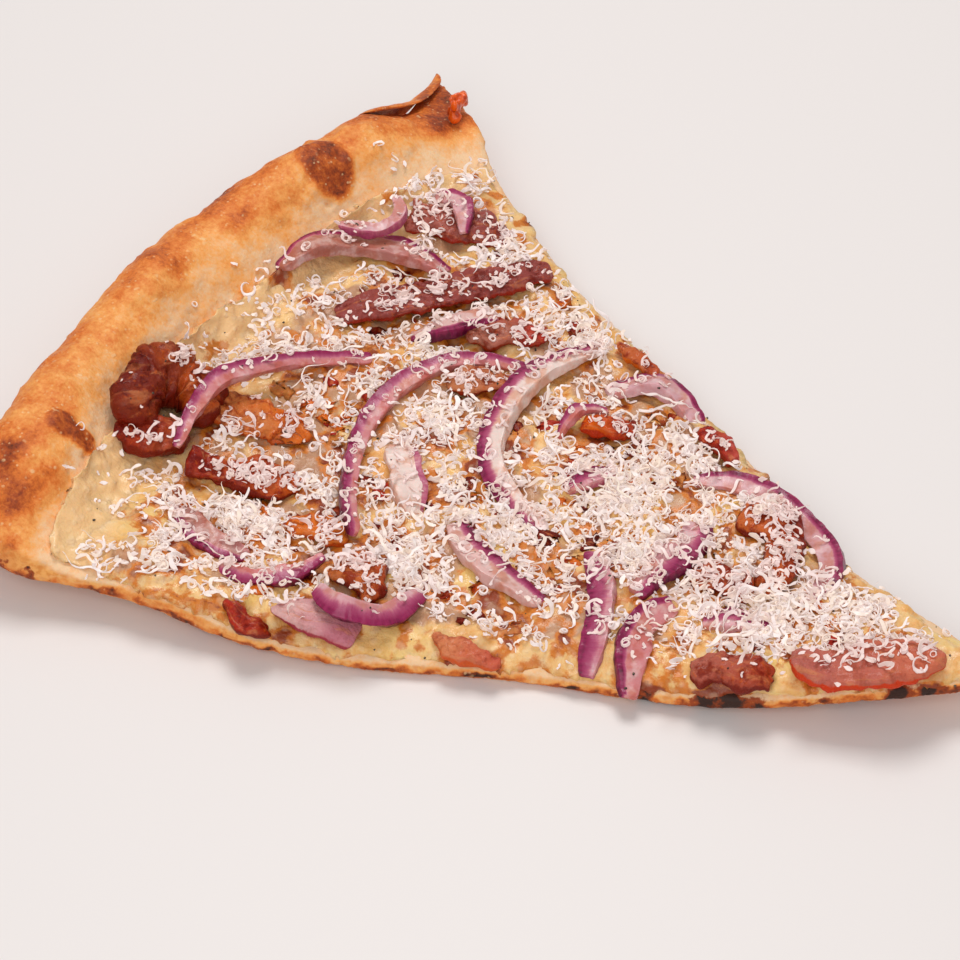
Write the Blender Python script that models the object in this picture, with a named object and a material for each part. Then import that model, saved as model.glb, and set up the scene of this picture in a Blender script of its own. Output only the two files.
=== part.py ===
"""A large slice of thin-crust pizza: puffed dough with a browned rim, a melted cheese layer, pieces of
bacon and strips of red onion, each its own closed solid. Lengths are in millimetres, angles in degrees.

The slice points its tip along +X and its rim along -X, +Y is its far cut and -Y its near cut. Polar
coordinates (radius, share) run out from the tip, and across from the near cut (0) to the far cut (1).
"""

import math
from dataclasses import dataclass

import bmesh
import bpy
import numpy as np

MM = 0.001
CENTRING = (3.1, 1.0, 0.0)  # added to every point, so that the origin is in the middle of the slice's box

# The outline of the slice
TIP = (122.0, -8.5)  # where the two cuts meet
RIM_RADIUS = 245.0  # from the tip to the outside of the rim
NEAR_CUT_DEG = 203.8
FAR_CUT_DEG = 153.6
BLUNT_TIP = 5.0  # the radius at which the tip is rounded off
# How far each cut strays toward -Y from a straight line: (radius, distance)
NEAR_STRAY = (
    (0, 0),
    (25, 8),
    (55, 14),
    (77, 13),
    (104, 10.5),
    (150, 13.8),
    (172, 12.5),
    (196, 5),
    (220, 3.6),
    (245, 0),
)
FAR_STRAY = (
    (0, 0),
    (22, 5),
    (57, 10.6),
    (86, 8.2),
    (140, 8.6),
    (178, 11.5),
    (212, 10),
    (235, 4.5),
    (258, 2),
)
FAR_CORNER_STRETCH = 13.0  # the dough pulled out at the far end of the rim

# Its height
BASE_THICK = 4.8
CUT_THICK = 3.4  # the dough squeezed thin along the cuts
SHOULDERS = (1.2, 4.2)  # in from each cut: the edge of the cheese, and the dough at full thickness
RIM_HEIGHT = 20.5
RIM_FOOT = 211.0  # radius where the rim starts to rise
RIM_CROWN = 231.5  # radius of its highest line
EQUATOR_SHARE = 0.42  # height of the widest point, as a share of the rim's height
LIFT = 8.0  # how high the corners curl up from the resting face
SAG_CENTRE = (-6.0, -10.0)
FLAT_RADIUS = 56.0
LIFTED_RADIUS = 126.0

# Blisters: (x, y, radius, height)
RIM_BLISTERS = (
    (-107.0, 36.0, 13.0, 5.5),
    (-91.0, -75.0, 6.5, 4.0),
    (-110.0, -22.0, 17.0, 1.8),
    (-106.0, -55.0, 14.0, 1.6),
    (-101.0, 66.0, 12.0, 1.6),
)
BASE_BLISTERS = (
    (-51.0, -90.0, 11.0, 4.2),
    (-12.0, 4.0, 16.0, 1.2),
    (38.0, -25.0, 15.0, 1.0),
    (-60.0, 48.0, 14.0, 1.1),
    (84.0, -12.0, 11.0, 0.9),
)

# The melted cheese
CHEESE_THICK = 2.6
CHEESE_EDGE = 0.7
CHEESE_TAPER = 9.0
CLEARANCE = 0.35  # between pieces that rest on each other
LAID_CLEARANCE = 0.7  # under a bent strip, whose facets stray from the smooth shape

COLUMNS = 32
BASE_ROWS = 15
SLOPE_ROWS = 4
OUTSIDE_ANGLES = (66.0, 42.0, 18.0, -8.0, -36.0, -64.0)

# The skin torn loose behind the far end of the rim
LIP_FROM = 0.84
LIP_ANGLES = (66.0, 42.0, 18.0, -8.0)
LIP_GAP = 0.9
LIP_THICK = 1.2
LIP_STANDS = 1.6

# Bacon: name, points along its middle, width, thickness, lean
BACON = (
    ("folded", ((-92, -53), (-97, -44), (-95, -36), (-88, -33), (-82, -39)), 8.5, 8.0, 0.0),
    ("lobe", ((-88, -62), (-82, -59), (-76, -56)), 8.0, 5.6, 0.0),
    ("tan", ((-82, -38), (-70, -32), (-57, -30)), 14.0, 3.6, 0.0),
    ("dark", ((-73, -56), (-62, -50), (-48, -45)), 10.5, 4.2, 6.0),
    ("long", ((-76, 8), (-63, 24), (-50, 41), (-41, 54)), 13.0, 3.8, -10.0),
    ("top", ((-80, 48), (-67, 54), (-54, 57)), 13.0, 3.4, 0.0),
    ("short", ((-45, 20), (-36, 28), (-28, 34)), 9.0, 3.4, 0.0),
    ("ringed", ((-40, 4), (-32, 9), (-24, 15)), 9.0, 3.2, 0.0),
    ("crisp", ((-3, 9), (3, 11), (8, 15)), 7.0, 4.2, 0.0),
    ("edge", ((-11, 40), (-4, 38), (3, 34)), 6.0, 3.4, 0.0),
    ("far", ((22, 22), (28, 23), (34, 19)), 8.0, 4.4, 0.0),
    ("chunk", ((44, 2), (53, 4), (60, -3), (59, -12)), 9.0, 5.2, 0.0),
    ("mid", ((44, -20), (51, -17), (58, -20)), 8.0, 3.6, 0.0),
    ("slab", ((58, -45), (67, -41), (77, -39)), 9.0, 4.8, -14.0),
    ("tip", ((77, -35), (90, -28), (105, -16)), 14.0, 4.6, -12.0),
    ("corner", ((-38, -84), (-33, -87), (-28, -86)), 7.0, 4.6, 0.0),
    ("ham", ((-29, -82), (-19, -77), (-10, -76)), 12.0, 4.4, -8.0),
    ("brown", ((-27, -62), (-20, -60), (-12, -64)), 9.0, 4.4, 0.0),
    ("gold", ((-43, -57), (-36, -53), (-29, -54)), 8.0, 3.6, 0.0),
    ("near", ((3, -65), (12, -66), (21, -63)), 5.4, 3.0, -10.0),
)

# Toasted cheese stuck to the far corner: as for bacon
NUB = (("nub", ((-88, 82), (-91, 87), (-90, 91)), 4.6, 3.6, 0.0),)

# Red onion: name, points along the strip, width, height, lean
ONION = (
    ("long_arc", ((-75, -57), (-81, -45), (-83, -31), (-81, -16), (-74, -4), (-61, 3)), 4.6, 4.2, 24.0),
    (
        "big_arc",
        ((-27, -53), (-37, -41), (-46, -23), (-48, -5), (-43, 10), (-33, 18), (-20, 21)),
        4.8,
        4.2,
        22.0,
    ),
    (
        "open_ring",
        ((-13, 37), (-19, 25), (-22, 11), (-20, -3), (-14, -14), (-4, -21), (8, -25)),
        5.4,
        3.8,
        12.0,
    ),
    ("pale_arc", ((-5, 24), (2, 30), (10, 32), (19, 28)), 6.0, 3.0, -16.0),
    ("crescent", ((-94, 11), (-92, 23), (-84, 33), (-73, 38), (-61, 38)), 6.6, 3.6, -18.0),
    ("hook", ((-90, 31), (-82, 36), (-79, 43), (-84, 49)), 4.0, 3.0, 0.0),
    ("curl", ((-78, 58), (-72, 59), (-67, 55), (-63, 49)), 4.4, 3.2, 12.0),
    ("flat", ((-57, 15), (-49, 22), (-42, 32)), 6.4, 3.0, -12.0),
    ("low_arc", ((-48, -77), (-40, -76), (-33, -70), (-29, -62)), 3.6, 3.8, 18.0),
    ("bow", ((-23, -73), (-15, -75), (-7, -69), (-5, -57)), 5.2, 3.4, 28.0),
    ("broad", ((-11, -34), (-3, -40), (7, -43), (19, -44)), 6.4, 2.8, -6.0),
    ("upright", ((20, -25), (28, -33), (34, -44), (38, -56)), 5.0, 3.0, 10.0),
    ("fan", ((36, -31), (38, -20), (39, -10), (37, -3)), 7.6, 2.8, -8.0),
    ("dark_ring", ((49, -56), (45, -48), (42, -38), (45, -29)), 6.0, 3.2, 16.0),
    ("tail_arc", ((28, 9), (38, 13), (51, 13), (64, 7), (71, -2), (71, -14)), 5.2, 3.6, 14.0),
    ("short_arc", ((53, -30), (60, -27), (68, -26)), 5.4, 2.8, 0.0),
    ("grey", ((-67, -67), (-56, -72), (-45, -70)), 5.6, 2.6, 0.0),
    ("heart", ((-38, -19), (-30, -27), (-21, -37)), 5.4, 3.8, -10.0),
    ("thread", ((-6, 3), (-5, 11), (-1, 18)), 2.6, 2.6, 0.0),
    ("lilac", ((4, -10), (8, -5), (12, 2)), 4.0, 2.6, 0.0),
)


@dataclass
class Strips:
    """How the strips of one kind are cut: the squareness runs from 1, round, to 0, square."""

    name: str
    corners: int
    squareness: float
    spacing: float  # between sections
    least: int  # sections in the shortest strip
    blunt: float  # the width of the ends as a share of the middle's
    uneven: float


BACON_CUT = Strips("bacon", corners=8, squareness=0.5, spacing=3.8, least=6, blunt=0.5, uneven=0.1)
NUB_CUT = Strips("cheese", corners=6, squareness=0.8, spacing=2.5, least=5, blunt=0.6, uneven=0.3)
ONION_CUT = Strips("onion", corners=6, squareness=0.7, spacing=3.8, least=6, blunt=0.4, uneven=0.04)


def smooth(share):
    """0 to 1 with level ends."""
    share = np.clip(share, 0.0, 1.0)
    return share * share * (3 - 2 * share)


def stray(table, radius):
    """How far a cut strays at a radius, eased from each listed distance to the next."""
    for (inner, one), (outer, two) in zip(table, table[1:]):
        if radius <= outer:
            return one + (two - one) * float(smooth((radius - inner) / (outer - inner)))
    return table[-1][1]


def bearing(share):
    return math.radians(NEAR_CUT_DEG + (FAR_CUT_DEG - NEAR_CUT_DEG) * share)


def width_at(radius):
    """The arc across the slice at a radius."""
    return radius * math.radians(NEAR_CUT_DEG - FAR_CUT_DEG)


def plan(radius, share):
    """The point of the slice, seen from above, at polar coordinates."""
    angle = bearing(share)
    shift = stray(NEAR_STRAY, radius) * (1 - share) + stray(FAR_STRAY, radius) * share
    return TIP[0] + radius * math.cos(angle), TIP[1] + radius * math.sin(angle) - shift


def polar(x, y):
    """The polar coordinates of a point seen from above: plan() undone by repeated correction."""
    radius, share, wanted_y = 0.0, 0.5, y
    for _ in range(6):
        radius = math.hypot(x - TIP[0], wanted_y - TIP[1])
        angle = math.degrees(math.atan2(wanted_y - TIP[1], x - TIP[0])) % 360
        share = (NEAR_CUT_DEG - angle) / (NEAR_CUT_DEG - FAR_CUT_DEG)
        wanted_y += y - plan(radius, share)[1]
    return radius, share


def lift(x, y):
    """How far the underside stands above the resting face."""
    away = math.hypot(x - SAG_CENTRE[0], y - SAG_CENTRE[1])
    return LIFT * float(smooth((away - FLAT_RADIUS) / (LIFTED_RADIUS - FLAT_RADIUS)))


def from_cut(radius, share):
    """The distance to the nearer cut."""
    return min(share, 1 - share) * width_at(radius)


def blistered(x, y, blisters):
    return sum(
        height * math.exp(-((x - bx) ** 2 + (y - by) ** 2) / (0.6 * radius**2))
        for bx, by, radius, height in blisters
    )


def base_height(radius, share):
    """The dough's thickness under the cheese."""
    x, y = plan(radius, share)
    bubble = blistered(x, y, BASE_BLISTERS)
    full = BASE_THICK + 0.5 * math.sin(x / 13.0) * math.cos(y / 15.0) + bubble
    cut = CUT_THICK + 0.7 * bubble
    return cut + (full - cut) * float(smooth(from_cut(radius, share) / SHOULDERS[1]))


def crown_height(share):
    """The height of the rim's highest line, squeezed down where the cutter went through."""
    near, far = share * width_at(RIM_RADIUS), (1 - share) * width_at(RIM_RADIUS)
    squeeze = (0.44 + 0.56 * smooth(near / 26)) * (0.46 + 0.54 * smooth(far / 44))
    swell = 0.9 * math.sin(share * 17) + 0.6 * math.sin(share * 31 + 1)
    return float(RIM_HEIGHT * squeeze + swell * squeeze)


def rim_reach(share):
    """The radius of the rim's outermost line."""
    corner = max(0.0, share - 0.9) / 0.1
    return RIM_RADIUS + 1.2 * math.sin(share * 13 + 0.6) + FAR_CORNER_STRETCH * corner**2


def foot(share):
    """The radius where the rim begins to rise, an uneven line."""
    return RIM_FOOT + 2.2 * math.sin(share * 19) + 1.2 * math.sin(share * 43)


def surface(radius, share):
    """The dough's top, from the tip to the crown of the rim, above the resting face."""
    x, y = plan(radius, share)
    base, start = base_height(radius, share), foot(share)
    climb = float(smooth((radius - start) / (RIM_CROWN - start)))
    top = base + (crown_height(share) - base) * climb
    return lift(x, y) + top + climb * blistered(x, y, RIM_BLISTERS)


def share_of_column(column, radius):
    """Columns follow the cuts: the outermost one is the cut, then the two shoulders, then even steps."""
    edge, full = (min(line / width_at(radius), limit) for line, limit in zip(SHOULDERS, (0.06, 0.18)))
    inward = min(column, COLUMNS - column)
    if inward < 2:
        near = (0.0, edge)[inward]
        return near if column < COLUMNS / 2 else 1 - near
    return full + (1 - 2 * full) * (column - 2) / (COLUMNS - 4)


def top_radii(share):
    """Radii of the rows on top: evenly from the tip to the foot, then up the slope to the crown."""
    flat = np.linspace(BLUNT_TIP, foot(share), BASE_ROWS)
    slope = np.linspace(foot(share), RIM_CROWN, SLOPE_ROWS + 1)[1:]
    return [*flat, *slope]


def dough_section(column):
    """One closed section of the dough, from the tip over the rim and back along the underside."""
    middle = share_of_column(column, RIM_RADIUS)
    points = []
    for radius in top_radii(middle):
        share = share_of_column(column, radius)
        points.append((*plan(radius, share), surface(radius, share)))
    crown, reach = crown_height(middle), rim_reach(middle)
    for angle in map(math.radians, OUTSIDE_ANGLES):
        radius = RIM_CROWN + (reach - RIM_CROWN) * math.cos(angle) ** 0.85
        share = share_of_column(column, radius)
        x, y = plan(radius, share)
        puff = blistered(x, y, RIM_BLISTERS) * max(0.0, math.sin(angle)) * 0.9
        equator = EQUATOR_SHARE * crown
        above = (crown - equator if angle > 0 else equator) * math.sin(angle)
        points.append((x, y, lift(x, y) + equator + above + puff))
    for radius in reversed(top_radii(middle)):
        x, y = plan(radius, share_of_column(column, radius))
        points.append((x, y, lift(x, y)))
    return points


def cheese_thickness(radius, share):
    """Thin at the edge of the melted layer, and gently lumpy inside."""
    x, y = plan(radius, share)
    inside = min(from_cut(radius, share) - SHOULDERS[0], RIM_CROWN - 6 - radius)
    lumps = 1 + 0.16 * math.sin(x / 7.0 + 1) * math.sin(y / 9.0)
    return CHEESE_EDGE + (CHEESE_THICK - CHEESE_EDGE) * lumps * float(smooth(inside / CHEESE_TAPER))


def cheese_section(column):
    """One closed section of the cheese: along the dough to halfway up the rim, and back on top."""
    middle = share_of_column(column, RIM_RADIUS)
    radii = top_radii(middle)[: -SLOPE_ROWS // 2]
    under, over = [], []
    for radius in radii:
        share = share_of_column(column, radius)
        x, y = plan(radius, share)
        rest = surface(radius, share) + CLEARANCE
        under.append((x, y, rest))
        over.append((x, y, rest + cheese_thickness(radius, share)))
    return under + over[::-1]


def material(name, colour, roughness):
    """A plain finish for one kind of piece."""
    made = bpy.data.materials.new(name)
    made.use_nodes = True
    shader = made.node_tree.nodes["Principled BSDF"]
    shader.inputs["Base Color"].default_value = (*colour, 1.0)
    shader.inputs["Roughness"].default_value = roughness
    shader.inputs["Metallic"].default_value = 0.0
    return made


def lofted(name, sections, finish):
    """One closed solid through closed sections of equal, even point counts. Each end is closed by a ladder of
    faces between its first and second half, so that a thin curved end stays as cut.
    """
    mesh = bpy.data.meshes.new(name)
    bm = bmesh.new()
    loops = [
        [bm.verts.new([(c + shift) * MM for c, shift in zip(point, CENTRING)]) for point in section]
        for section in sections
    ]
    count = len(loops[0])
    for one, two in zip(loops, loops[1:]):
        for i in range(count):
            following = (i + 1) % count
            bm.faces.new((one[i], one[following], two[following], two[i]))
    for loop in (loops[0][::-1], loops[-1]):
        for i in range(count // 2 - 1):
            bm.faces.new((loop[i], loop[i + 1], loop[count - 2 - i], loop[count - 1 - i]))
    bmesh.ops.recalc_face_normals(bm, faces=bm.faces)
    bm.to_mesh(mesh)
    bm.free()
    mesh.shade_smooth()
    mesh.set_sharp_from_angle(angle=math.radians(50))
    mesh.materials.append(finish)
    made = bpy.data.objects.new(name, mesh)
    bpy.context.scene.collection.objects.link(made)
    return made


class Bed:
    """The height of whatever a topping would land on, on a grid one millimetre apart."""

    def __init__(self):
        self.low = -130
        side = 260
        self.height = np.zeros((side, side))
        for i in range(side):
            for j in range(side):
                self.height[i, j] = self.cheese_top(i + self.low, j + self.low)

    @staticmethod
    def cheese_top(x, y):
        radius, share = polar(x, y)
        radius, share = min(max(radius, BLUNT_TIP), RIM_CROWN), min(max(share, 0.0), 1.0)
        return surface(radius, share) + CLEARANCE + cheese_thickness(radius, share)

    def at(self, x, y):
        """The height between grid points, by bilinear interpolation."""
        u, v = x - self.low, y - self.low
        i, j = int(u), int(v)
        a, b = u - i, v - j
        h = self.height
        near = h[i, j] * (1 - a) + h[i + 1, j] * a
        far = h[i, j + 1] * (1 - a) + h[i + 1, j + 1] * a
        return near * (1 - b) + far * b

    def cover(self, sections):
        """Raises the bed to the top of a strip that was laid on it, with a slope at the strip's sides."""
        stamp = self.height.copy()
        for section in sections:
            top = max(point[2] for point in section)
            points = np.array([point[:2] for point in section])
            centre, reach = points.mean(axis=0), np.ptp(points, axis=0).max() / 2
            low = np.floor(centre - reach - 6 - self.low).astype(int)
            high = np.ceil(centre + reach + 6 - self.low).astype(int)
            for i in range(max(low[0], 0), min(high[0], 259)):
                for j in range(max(low[1], 0), min(high[1], 259)):
                    away = math.hypot(i + self.low - centre[0], j + self.low - centre[1]) - reach
                    drop = float(smooth(1 - (away - 1.2) / 3.0))
                    stamp[i, j] = max(stamp[i, j], self.height[i, j] + (top - self.height[i, j]) * drop)
        self.height = stamp


def smooth_path(points, count):
    """A smooth line through the points, as count evenly spaced stations with their directions."""
    points = np.array(points, float)
    ends = np.vstack([2 * points[0] - points[1], points, 2 * points[-1] - points[-2]])
    dense = []
    for a, b, c, d in zip(ends, ends[1:], ends[2:], ends[3:]):
        for t in np.linspace(0, 1, 24, endpoint=False):
            bent = (2 * a - 5 * b + 4 * c - d) * t**2 + (3 * b - a - 3 * c + d) * t**3
            dense.append(0.5 * (2 * b + (c - a) * t + bent))
    dense = np.array([*dense, points[-1]])
    along = np.concatenate([[0], np.cumsum(np.hypot(*np.diff(dense, axis=0).T))])
    wanted = np.linspace(0, along[-1], count)
    path = np.stack([np.interp(wanted, along, dense[:, axis]) for axis in (0, 1)], axis=1)
    ahead = np.gradient(path, axis=0)
    return path, ahead / np.hypot(*ahead.T)[:, None]


def strip_ring(width, height, lean, kind):
    """The outline across a strip, centred on its path: a rounded bar, turned by its lean."""
    tilt = math.radians(lean)
    ring = []
    for corner in range(kind.corners):
        angle = 2 * math.pi * (corner + 0.5) / kind.corners
        across = 0.5 * width * math.copysign(abs(math.cos(angle)) ** kind.squareness, math.cos(angle))
        above = 0.5 * height * math.copysign(abs(math.sin(angle)) ** kind.squareness, math.sin(angle))
        ring.append(
            (
                across * math.cos(tilt) - above * math.sin(tilt),
                across * math.sin(tilt) + above * math.cos(tilt),
            )
        )
    return ring


def strip_sections(bed, points, width, height, lean, kind):
    """Sections of a strip laid along a path, which follows the bed and narrows toward its ends."""
    length = sum(math.dist(a, b) for a, b in zip(points, points[1:]))
    stations = max(kind.least, round(length / kind.spacing))
    path, ahead = smooth_path(points, stations)
    sections = []
    for index, (centre, direction) in enumerate(zip(path, ahead)):
        side = np.array([-direction[1], direction[0]])
        along = index / (stations - 1)
        full = math.sqrt(math.sin(math.pi * min(max(along, 0.02), 0.98)))
        swell = kind.blunt + (1 - kind.blunt) * full
        swell *= 1 + kind.uneven * math.sin(along * 9 + points[0][0])
        ring = strip_ring(width * swell, height * swell, lean, kind)
        lowest = min(above for _, above in ring)
        section = []
        for across, above in ring:
            x, y = centre + across * side
            section.append((x, y, bed.at(x, y) + LAID_CLEARANCE + above - lowest))
        sections.append(section)
    return sections


def lay(bed, table, kind, finish):
    """Lays each strip of a table on the bed in turn, so that a later one rests on those before it."""
    for name, points, width, height, lean in table:
        sections = strip_sections(bed, points, width, height, lean, kind)
        lofted(f"{kind.name}_{name}", sections, finish)
        bed.cover(sections)


def lip_section(share):
    """The torn skin of the crust that stands off behind the rim at its far end: a thin curved blade."""
    crown, reach = crown_height(share), rim_reach(share)
    fade = float(smooth((share - LIP_FROM) / 0.05))
    inner, outer = [], []
    for angle in map(math.radians, LIP_ANGLES):
        radius = RIM_CROWN + (reach - RIM_CROWN) * math.cos(angle) ** 0.85
        equator = EQUATOR_SHARE * crown
        height = equator + (crown - equator if angle > 0 else equator) * math.sin(angle)
        rise = LIP_STANDS * fade * (math.sin(angle) if angle > 0 else 0)
        for skin, away in ((inner, LIP_GAP), (outer, LIP_GAP + LIP_THICK)):
            x, y = plan(radius + away * math.cos(angle) + 0.5 * rise, share)
            skin.append((x, y, lift(x, y) + height + away * math.sin(angle) + rise))
    return inner + outer[::-1]


def main():
    for old in list(bpy.data.objects):
        bpy.data.objects.remove(old)
    crust = material("baked_crust", (0.62, 0.33, 0.12), 0.7)
    cheese = material("melted_cheese", (0.85, 0.70, 0.38), 0.4)
    bacon = material("cooked_bacon", (0.42, 0.13, 0.08), 0.45)
    onion = material("red_onion", (0.55, 0.27, 0.45), 0.35)
    lofted("dough", [dough_section(column) for column in range(COLUMNS + 1)], crust)
    lofted("cheese", [cheese_section(column) for column in range(1, COLUMNS)], cheese)
    lip = [share_of_column(column, RIM_RADIUS) for column in range(COLUMNS + 1)]
    lofted("crust_lip", [lip_section(share) for share in lip if share > LIP_FROM], crust)
    bed = Bed()
    lay(bed, BACON, BACON_CUT, bacon)
    lay(bed, NUB, NUB_CUT, cheese)
    lay(bed, ONION, ONION_CUT, onion)


main()
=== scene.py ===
"""A wide slice of pizza: the looks of its dough, melted cheese, bacon, red onion and grated cheese.

The solids give the pieces and their heights. The bacon is moved and swelled a little from its solids, and the
onion's paths are listed here. Lengths are in millimetres until a mesh is made, which is in metres. The slice
points its tip along +X, its rim lies toward -X, and +Z is up.
"""

from __future__ import annotations

import logging
import math
from dataclasses import dataclass
from enum import Enum
from typing import Sequence

import bmesh
import bpy
import numpy as np
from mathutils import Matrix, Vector, noise
from mathutils.bvhtree import BVHTree

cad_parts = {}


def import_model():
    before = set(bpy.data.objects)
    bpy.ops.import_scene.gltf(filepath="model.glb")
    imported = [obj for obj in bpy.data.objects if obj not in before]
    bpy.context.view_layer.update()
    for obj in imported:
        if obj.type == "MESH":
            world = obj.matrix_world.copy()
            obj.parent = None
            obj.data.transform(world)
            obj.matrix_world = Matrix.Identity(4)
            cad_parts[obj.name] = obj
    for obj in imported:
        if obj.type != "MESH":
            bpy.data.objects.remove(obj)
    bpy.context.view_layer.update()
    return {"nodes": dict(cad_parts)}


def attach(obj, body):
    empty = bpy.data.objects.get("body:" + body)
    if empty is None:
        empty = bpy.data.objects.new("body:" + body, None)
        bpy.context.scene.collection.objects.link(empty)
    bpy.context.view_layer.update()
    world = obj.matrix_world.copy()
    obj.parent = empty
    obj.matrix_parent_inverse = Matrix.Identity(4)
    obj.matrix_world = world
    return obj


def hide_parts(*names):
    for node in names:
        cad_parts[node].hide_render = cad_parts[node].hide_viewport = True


log = logging.getLogger("pizza")

MM = 0.001
Colour = tuple[float, float, float]
Path = Sequence[tuple[float, float]]
Spots = tuple[tuple[float, ...], ...]
CENTRING = np.array((3.1, 1.0))  # from the slice's cutting plan to the middle of its box
SKY = 0.2  # a height above everything, in metres
DOWN = Vector((0, 0, -1))


def ease(share: np.ndarray | float) -> np.ndarray:
    """Turns 0 to 1 into 0 to 1 with level ends.

    Args:
        share: The value or values, which are clipped first.

    Returns:
        The eased values.
    """
    share = np.clip(share, 0.0, 1.0)
    return share * share * (3 - 2 * share)


def clouds(points: np.ndarray, size: float, seed: float = 0.0) -> np.ndarray:
    """Soft noise at each point.

    Args:
        points: Places in millimetres, one per row.
        size: How far apart the swells are, in millimetres.
        seed: Shifts the pattern, so that two calls differ.

    Returns:
        Values from about -0.5 to 0.5.
    """
    shifted = (points / size + seed).tolist()
    return np.array([noise.noise(p) for p in shifted]) * 0.9


def creases(points: np.ndarray, size: float, seed: float = 0.0, width: float = 0.05) -> np.ndarray:
    """Narrow wandering folds.

    Args:
        points: Places in millimetres, one per row.
        size: How far apart the folds are, in millimetres.
        seed: Shifts the pattern.
        width: How wide the folds are, as a share of the noise that they follow.

    Returns:
        Values from 0, away from a fold, to 1 along its middle.
    """
    return np.exp(-((clouds(points, size, seed) / width) ** 2))


def about_z(turn: float) -> np.ndarray:
    """The matrix that turns places about Z by an angle in radians."""
    return np.array([[math.cos(turn), -math.sin(turn), 0], [math.sin(turn), math.cos(turn), 0], [0, 0, 1]])


def spots(points: np.ndarray, table: Spots) -> np.ndarray:
    """A sum of soft round spots.

    Args:
        points: Places in millimetres, one per row.
        table: Rows of x, y, radius and strength, with the places and radii in millimetres.

    Returns:
        The spots' strength at each point.
    """
    total = np.zeros(len(points))
    for x, y, radius, strength in table:
        away = (points[:, 0] - x) ** 2 + (points[:, 1] - y) ** 2
        total += strength * np.exp(-away / (0.55 * radius**2))
    return total


class Plan:
    """The slice seen from above: where its tip, its cuts and its lifted edges are.

    Attributes:
        TIP: The tip.
        APEX_DROP: How far nearer than the tip the lines of the two cuts meet.
        NEAR_CUT_DEG: The near cut's direction from there, in degrees.
        FAR_CUT_DEG: The far cut's direction.
        SAG_CENTRE: The middle of the part that lies flat.
        FLAT_RADIUS: How far that part reaches.
        LIFTED_RADIUS: How far out the underside is fully lifted.
        LIFT: How high it is lifted there.
        THINNING: The distance from the tip at which the cheese starts to thin out.
        FOOT: The distance at which the rim starts to rise.
        SWELLING: The distance at which it starts to be lumpy.
        CROWN: The distance at which its crown starts.
        TOP: The distance of its highest line.
        OUTSIDE: The distance at which its outer side starts.
    """

    TIP = np.array((122.0, -8.5)) + CENTRING
    APEX_DROP = 9.0
    NEAR_CUT_DEG = 203.8
    FAR_CUT_DEG = 153.6
    SAG_CENTRE = np.array((-6.0, -10.0)) + CENTRING
    FLAT_RADIUS = 56.0
    LIFTED_RADIUS = 126.0
    LIFT = 8.0
    THINNING = 203.0
    FOOT = 211.0
    SWELLING = 214.0
    CROWN = 219.5
    TOP = 222.0
    OUTSIDE = 232.0

    @classmethod
    def polar(cls, points: np.ndarray) -> tuple[np.ndarray, np.ndarray]:
        """The distance from the tip, and the share of the way from the near cut to the far cut.

        Args:
            points: Places in millimetres, one per row.

        Returns:
            The radii and the shares.
        """
        x, y = points[:, 0] - cls.TIP[0], points[:, 1] - cls.TIP[1]
        angle = np.degrees(np.arctan2(y + cls.APEX_DROP, x)) % 360
        return np.hypot(x, y), (cls.NEAR_CUT_DEG - angle) / (cls.NEAR_CUT_DEG - cls.FAR_CUT_DEG)

    @classmethod
    def width(cls, radius: np.ndarray | float) -> np.ndarray | float:
        """How far apart the two cuts are, at each distance from the tip."""
        return radius * math.radians(cls.NEAR_CUT_DEG - cls.FAR_CUT_DEG)

    @classmethod
    def lift(cls, points: np.ndarray) -> np.ndarray:
        """How far the underside stands above what the slice lies on, at each point."""
        away = np.hypot(points[:, 0] - cls.SAG_CENTRE[0], points[:, 1] - cls.SAG_CENTRE[1])
        return cls.LIFT * ease((away - cls.FLAT_RADIUS) / (cls.LIFTED_RADIUS - cls.FLAT_RADIUS))


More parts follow.
